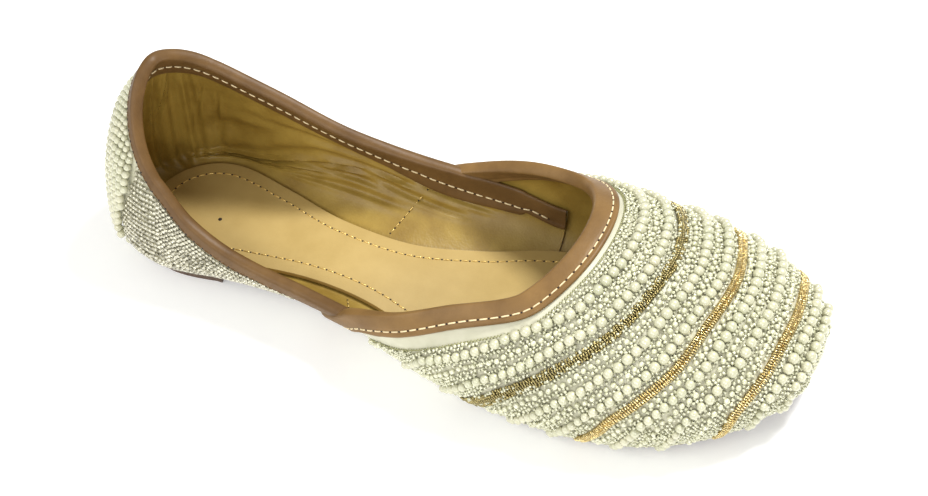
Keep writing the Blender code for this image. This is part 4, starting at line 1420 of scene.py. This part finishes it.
STITCH_SHAPE = stitch_template()
# A thin disc on which each hole's shade is painted dark
HOLE_SHADE_SHAPE = turned(((-0.5, 0.0), (-0.5, 1.0), (0.5, 1.0), (0.5, 0.0)), 8)


def sewn(name, holes, normals, thread, radius, gap, hole_shade_size=1.25):
    """Stitches between neighbouring holes, and a piece of dark discs painted with the holes' shade."""
    spots, shade_dots = [], []
    for a, b, normal in zip(holes, holes[1:], normals):
        length = (b - a).length
        if length < SHORTEST_STITCH:
            continue
        middle = (a + b) / 2 + normal * radius * 0.5
        spots.append(frame_spot(middle, b - a, normal, (length - gap, radius, radius)))
    for hole, normal in zip(holes, normals):
        side = normal.orthogonal()
        shade_dots.append(frame_spot(hole, normal, side, (HOLE_DEPTH, radius * hole_shade_size, radius * hole_shade_size)))
    piece = scattered(name, STITCH_SHAPE, spots, thread)
    hole_shade_piece = scattered(name + "_hole_shade", HOLE_SHADE_SHAPE, shade_dots, hole_shade)


def line_of(curve, start, end, pitch):
    """Values along a curve in equal steps, and their places."""
    values = walk(curve, start, end, pitch)
    return values, [curve(value) for value in values]


# %% Sew the throat binding
STITCH_LENGTH = 0.0034
STITCH_GAP = 0.0006
THREAD = 0.00026


def throat_line(across):
    return throat_place(across, THROAT_STITCH, THROAT_TOP - STITCH_GROOVE)


values, holes = line_of(throat_line, -0.93, 0.93, STITCH_LENGTH)
normals = [vamp_point(value, throat_row(value, THROAT_STITCH)).normal for value in values]
sewn("throat_stitches", holes, normals, cream_thread, THREAD, STITCH_GAP)

# %% Sew the collar binding, seen on its inner lip
def collar_line(around):
    return collar_place(around, COLLAR_STITCH, COLLAR_BOTTOM + STITCH_GROOVE)


def inner_normal(around):
    angle = angle_down(around, collar_angle(around), COLLAR_STITCH)
    return -quarter_point(around, angle).normal


values, holes = line_of(collar_line, -0.72, 1.95, STITCH_LENGTH)
sewn("collar_stitches", holes, [inner_normal(value) for value in values], cream_thread, THREAD, STITCH_GAP)

# %% Needle holes along the collar's outer lip, their shade painted on dark discs
OUTER_STITCH = 0.0036
OUTER_THREAD = 0.00020
OUTER_GAP = 0.0012
FROM_LIP_EDGE = 0.0006


def outer_line(around):
    outer = lip_widths(around)[1]
    return collar_place(around, outer - FROM_LIP_EDGE, COLLAR_TOP - 0.00008)


values, holes = line_of(outer_line, lateral_front, medial_front, OUTER_STITCH)
normals = [quarter_point(value, collar_angle(value)).normal for value in values]
sewn("collar_outer_stitches", holes, normals, binding_leather, OUTER_THREAD, OUTER_GAP, hole_shade_size=2.0)

# %% The side seams of the lining
LINING_SEAMS = (1.58, -0.58)
SEAM_SLANT = 0.12
SEAM_STITCH = 0.0026


def seam_line(around, share):
    """A place on a seam, which slants as it goes down."""
    slant = SEAM_SLANT * (share - 0.6) * (1 if around > 0 else -1)
    return off(quarter_point(around - slant, quarter_low(around, share)), -WALL - 0.0001)


for number, around in enumerate(LINING_SEAMS, 1):
    values, holes = line_of(partial(seam_line, around), 0.30, 0.97, SEAM_STITCH)
    normals = [-quarter_point(around, quarter_low(around, value)).normal for value in values]
    sewn(f"lining_seam_{number}", holes, normals, gold_thread, 0.00022, 0.0008)

# %% [markdown]
# ## Sock, sole and heel lift
#
# The sock is the tan leather that the foot stands on, glued to a filler. Its outline is the last's own
# foot line, drawn in by the wall. The sole and the lift use the same line, so that the edges run
# together as they do after the maker has rasped them. They could be cut from planes, but their edges show,
# so each is a thin solid, and its rings of points round the edges off.

# %% Outlines from the foot's line
HEEL_STEPS = 24
SIDE_STEPS = 60
TOE_STEPS = 36


def foot_pairs():
    """Lateral and medial points of the foot's line with inward directions, from heel to toe."""
    pairs = []
    for i in range(HEEL_STEPS + 1):
        turn = 90 - 90 * i / HEEL_STEPS
        ribs = heel_rib(turn), heel_rib(180 - turn)
        pairs.append([(rib.foot, level_inward(rib.foot, station_x(0))) for rib in ribs])
    for i in range(1, SIDE_STEPS + 1):
        x = mix(station_x(0), station_x(TOE_START), i / SIDE_STEPS)
        pairs.append([(side_rib(x, side).foot, Vector((0, -side, 0))) for side in (LATERAL, MEDIAL)])
    reach = LENGTH / 2 - station_x(TOE_START)
    for i in range(1, TOE_STEPS + 1):
        x = station_x(TOE_START) + reach * sin(radians(90 * i / TOE_STEPS)) ** (2 / TOE_FULLNESS)
        turn = TOE_TURN * ((x - station_x(TOE_START)) / reach) ** 2
        both = []
        for side in (LATERAL, MEDIAL):
            foot = side_rib(x, side).foot
            share = i / TOE_STEPS
            way = Vector((-share ** 2, (turn - foot.y) / 0.035 * (1 - share ** 3), 0))
            both.append((foot, way.normalized() if way.length > 1e-6 else Vector((-1, 0, 0))))
        pairs.append(both)
    return pairs


PAIRS = foot_pairs()
print("points along the foot's line:", 2 * len(PAIRS))

# %% Flat solids inside an outline
def slab(name, rings, finish):
    """A flat solid through rings of points, each ring closed, with its first and last ring filled."""
    count = len(rings[0])
    half = count // 2
    faces = grid_faces(len(rings), count, closed=True)
    for start in (0, (len(rings) - 1) * count):
        for i in range(half - 1):
            faces.append((start + i, start + i + 1, start + count - 2 - i, start + count - 1 - i))
    places = [place for ring_places in rings for place in ring_places]
    return outward(make_mesh(name, places, faces, [finish], sharp=SHARP_SOLE))


def inset_line(pairs, side, inset):
    """The foot's line on the lateral side, 0, or the medial side, 1, moved in."""
    return [pair[side][0] + pair[side][1] * inset for pair in pairs]


def ring(pairs, inset, height):
    places = inset_line(pairs, 0, inset) + inset_line(pairs, 1, inset)[::-1]
    return [Vector((place.x, place.y, height(place.x))) for place in places]


# %% The sock
SOCK_TOP = WALL + GAP + INSOLE_THICKNESS
sock_rings = []
for inward, level in ((0.0, -INSOLE_THICKNESS), (0.0, -0.0004), (0.0001, -0.0001), (0.0005, 0.0)):
    sock_rings.append(ring(PAIRS, WALL + GAP + inward, lambda x: foot_height(x) + SOCK_TOP + level))
sock = slab("sock", sock_rings, sock_leather)
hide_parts("insole")

# %% Stitches in the sock, and a dark disc painted with the shade of a nail hole
SOCK_STITCH = 0.0075       # the stitches' distance from the foot's line
NAIL_RADIUS = 0.0007
sock_line = inset_line(PAIRS, 0, SOCK_STITCH)[::-1] + inset_line(PAIRS, 1, SOCK_STITCH)


def along_sock(share):
    place = share * (len(sock_line) - 1)
    low = min(int(place), len(sock_line) - 2)
    point = sock_line[low].lerp(sock_line[low + 1], place - low)
    return Vector((point.x, point.y, foot_height(point.x) + SOCK_TOP))


values, holes = line_of(along_sock, 0.08, 0.92, 0.0032)
sewn("sock_stitches", holes, [Vector((0, 0, 1))] * len(holes), gold_thread, 0.00026, 0.0007)

# A dark disc with the painted shade of a nail hole
nail_place = Vector((station_x(0) + 0.006, -0.004, 0))
nail_place.z = foot_height(nail_place.x) + SOCK_TOP + 0.00005
nail_size = (HOLE_DEPTH, NAIL_RADIUS, NAIL_RADIUS)
nail_spot = frame_spot(nail_place, Vector((0, 0, 1)), Vector((1, 0, 0)), nail_size)
nail_hole_shade = scattered("sock_nail_hole_shade", HOLE_SHADE_SHAPE, [nail_spot], hole_shade)

# %% The sole
edge = -WALL / 2 - SOLE_MARGIN
sole_rings = [
    ring(PAIRS, edge + 0.0009, sole_underside),
    ring(PAIRS, edge + 0.0003, lambda x: sole_underside(x) + 0.00025),
    ring(PAIRS, edge, lambda x: sole_underside(x) + 0.0008),
    ring(PAIRS, edge, lambda x: sole_underside(x) + OUTSOLE_THICKNESS - 0.0005),
    ring(PAIRS, edge + 0.0004, lambda x: sole_underside(x) + OUTSOLE_THICKNESS),
]
sole = slab("sole", sole_rings, sole_leather)
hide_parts("outsole")

# %% The heel lift, with its front edge hollowed
LIFT_INSET = 0.0015
LIFT_HOLLOW = 0.002
LIFT_EDGE = 0.0006         # the ground edge is rounded off by this much
heel_front = station_x(HEEL_FRONT)
lift_pairs = [pair for pair in PAIRS if pair[0][0].x < heel_front]


def lift_ring(inset, height):
    base = ring(lift_pairs, edge + LIFT_INSET + inset, lambda x: height)
    half = len(base) // 2
    lateral, medial = base[:half], base[half:]
    front = []
    for i in range(9):
        share = i / 8
        x = heel_front - inset - LIFT_HOLLOW * sin(pi * share)
        front.append(Vector((x, mix(lateral[-1].y, medial[0].y, share), height)))
    return lateral + front + medial


lift_rings = [lift_ring(LIFT_EDGE, 0.0), lift_ring(0.0, LIFT_EDGE), lift_ring(0.0, LIFT_THICKNESS)]
lift = lofted("lift", lift_rings, sole_leather, SHARP_SOLE)
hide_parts("heel_lift")
print("sock, sole and lift:", *(len(piece.data.polygons) for piece in (sock, sole, lift)), "faces")

# %% [markdown]
# ## Floor, light and camera
#
# The shoe stands on a plain pale floor under large soft lights, as for a shop's catalogue. The camera
# looks down on the lateral side from in front, from a place and through a lens that were fitted to the
# photograph, and it is turned a little to bring the shoe to the middle of the picture.

# %% Floor and lights
floor_finish = new_finish(
    "pale floor", (0.90, 0.90, 0.89), 0.70, Emission_Color=(1, 1, 1, 1), Emission_Strength=0.20
)
bpy.ops.mesh.primitive_plane_add(size=6.0, location=(0, 0, 0))
floor_plane = bpy.context.object
floor_plane.name = "floor"
floor_plane.data.materials.append(floor_finish)

world = bpy.data.worlds.new("studio")
bpy.context.scene.world = world
world.use_nodes = True
world.node_tree.nodes["Background"].inputs["Color"].default_value = (1.0, 0.99, 0.97, 1)
world.node_tree.nodes["Background"].inputs["Strength"].default_value = 0.46


def softbox(name, place, size, power):
    light = bpy.data.lights.new(name, "AREA")
    light.shape = "SQUARE"
    light.size = size
    light.energy = power
    lamp = bpy.data.objects.new(name, light)
    lamp.location = place
    lamp.rotation_euler = (Vector((0, 0, 0.02)) - Vector(place)).to_track_quat("-Z", "Y").to_euler()
    bpy.context.collection.objects.link(lamp)
    return lamp


softbox("key", (0.30, 0.40, 0.95), 0.24, 12)
softbox("fill", (-0.45, -0.70, 0.75), 0.70, 5)
softbox("front", (0.45, -0.85, 0.60), 0.30, 4.5)
bpy.context.scene.view_settings.view_transform = "Standard"

# %% Camera
AZIMUTH = 21.3             # degrees
ELEVATION = 45.8
ROLL = 0.6
DISTANCE = 0.520           # to the shoe's middle
FOCAL_PIXELS = 1577
MIDDLE_PIXEL = (345, 296)  # where the middle of the last lies in the photo
PHOTO = (928, 496)
PAN = 3.6                  # degrees to the left, so that the shoe is in the middle of the picture
TILT = -1.6                # and down
MIDDLE = Vector((-0.0005, 0, 0.025)) + SHIFT
SENSOR = 36                # mm

azimuth, elevation, roll = radians(AZIMUTH), radians(ELEVATION), radians(ROLL)
back = Vector((sin(azimuth) * cos(elevation), -cos(azimuth) * cos(elevation), sin(elevation)))
level = Vector((cos(azimuth), sin(azimuth), 0))
upright = back.cross(level)
right = level * cos(roll) + upright * sin(roll)
up = upright * cos(roll) - level * sin(roll)
per_pixel = DISTANCE / FOCAL_PIXELS
aside = right * (PHOTO[0] / 2 - MIDDLE_PIXEL[0]) - up * (PHOTO[1] / 2 - MIDDLE_PIXEL[1])

camera = bpy.data.cameras.new("camera")
camera.sensor_fit = "HORIZONTAL"
camera.sensor_width = SENSOR
camera.lens = FOCAL_PIXELS * SENSOR / PHOTO[0]
camera.clip_start = 0.01
viewer = bpy.data.objects.new("camera", camera)
bpy.context.collection.objects.link(viewer)
viewer.rotation_mode = "QUATERNION"
aimed = Matrix.Rotation(radians(PAN), 3, up) @ Matrix.Rotation(radians(TILT), 3, right)
viewer.rotation_quaternion = (aimed @ Matrix((right, up, back)).transposed()).to_quaternion()
viewer.location = MIDDLE + back * DISTANCE + aside * per_pixel
bpy.context.scene.camera = viewer
print("camera at", [round(value, 3) for value in viewer.location])
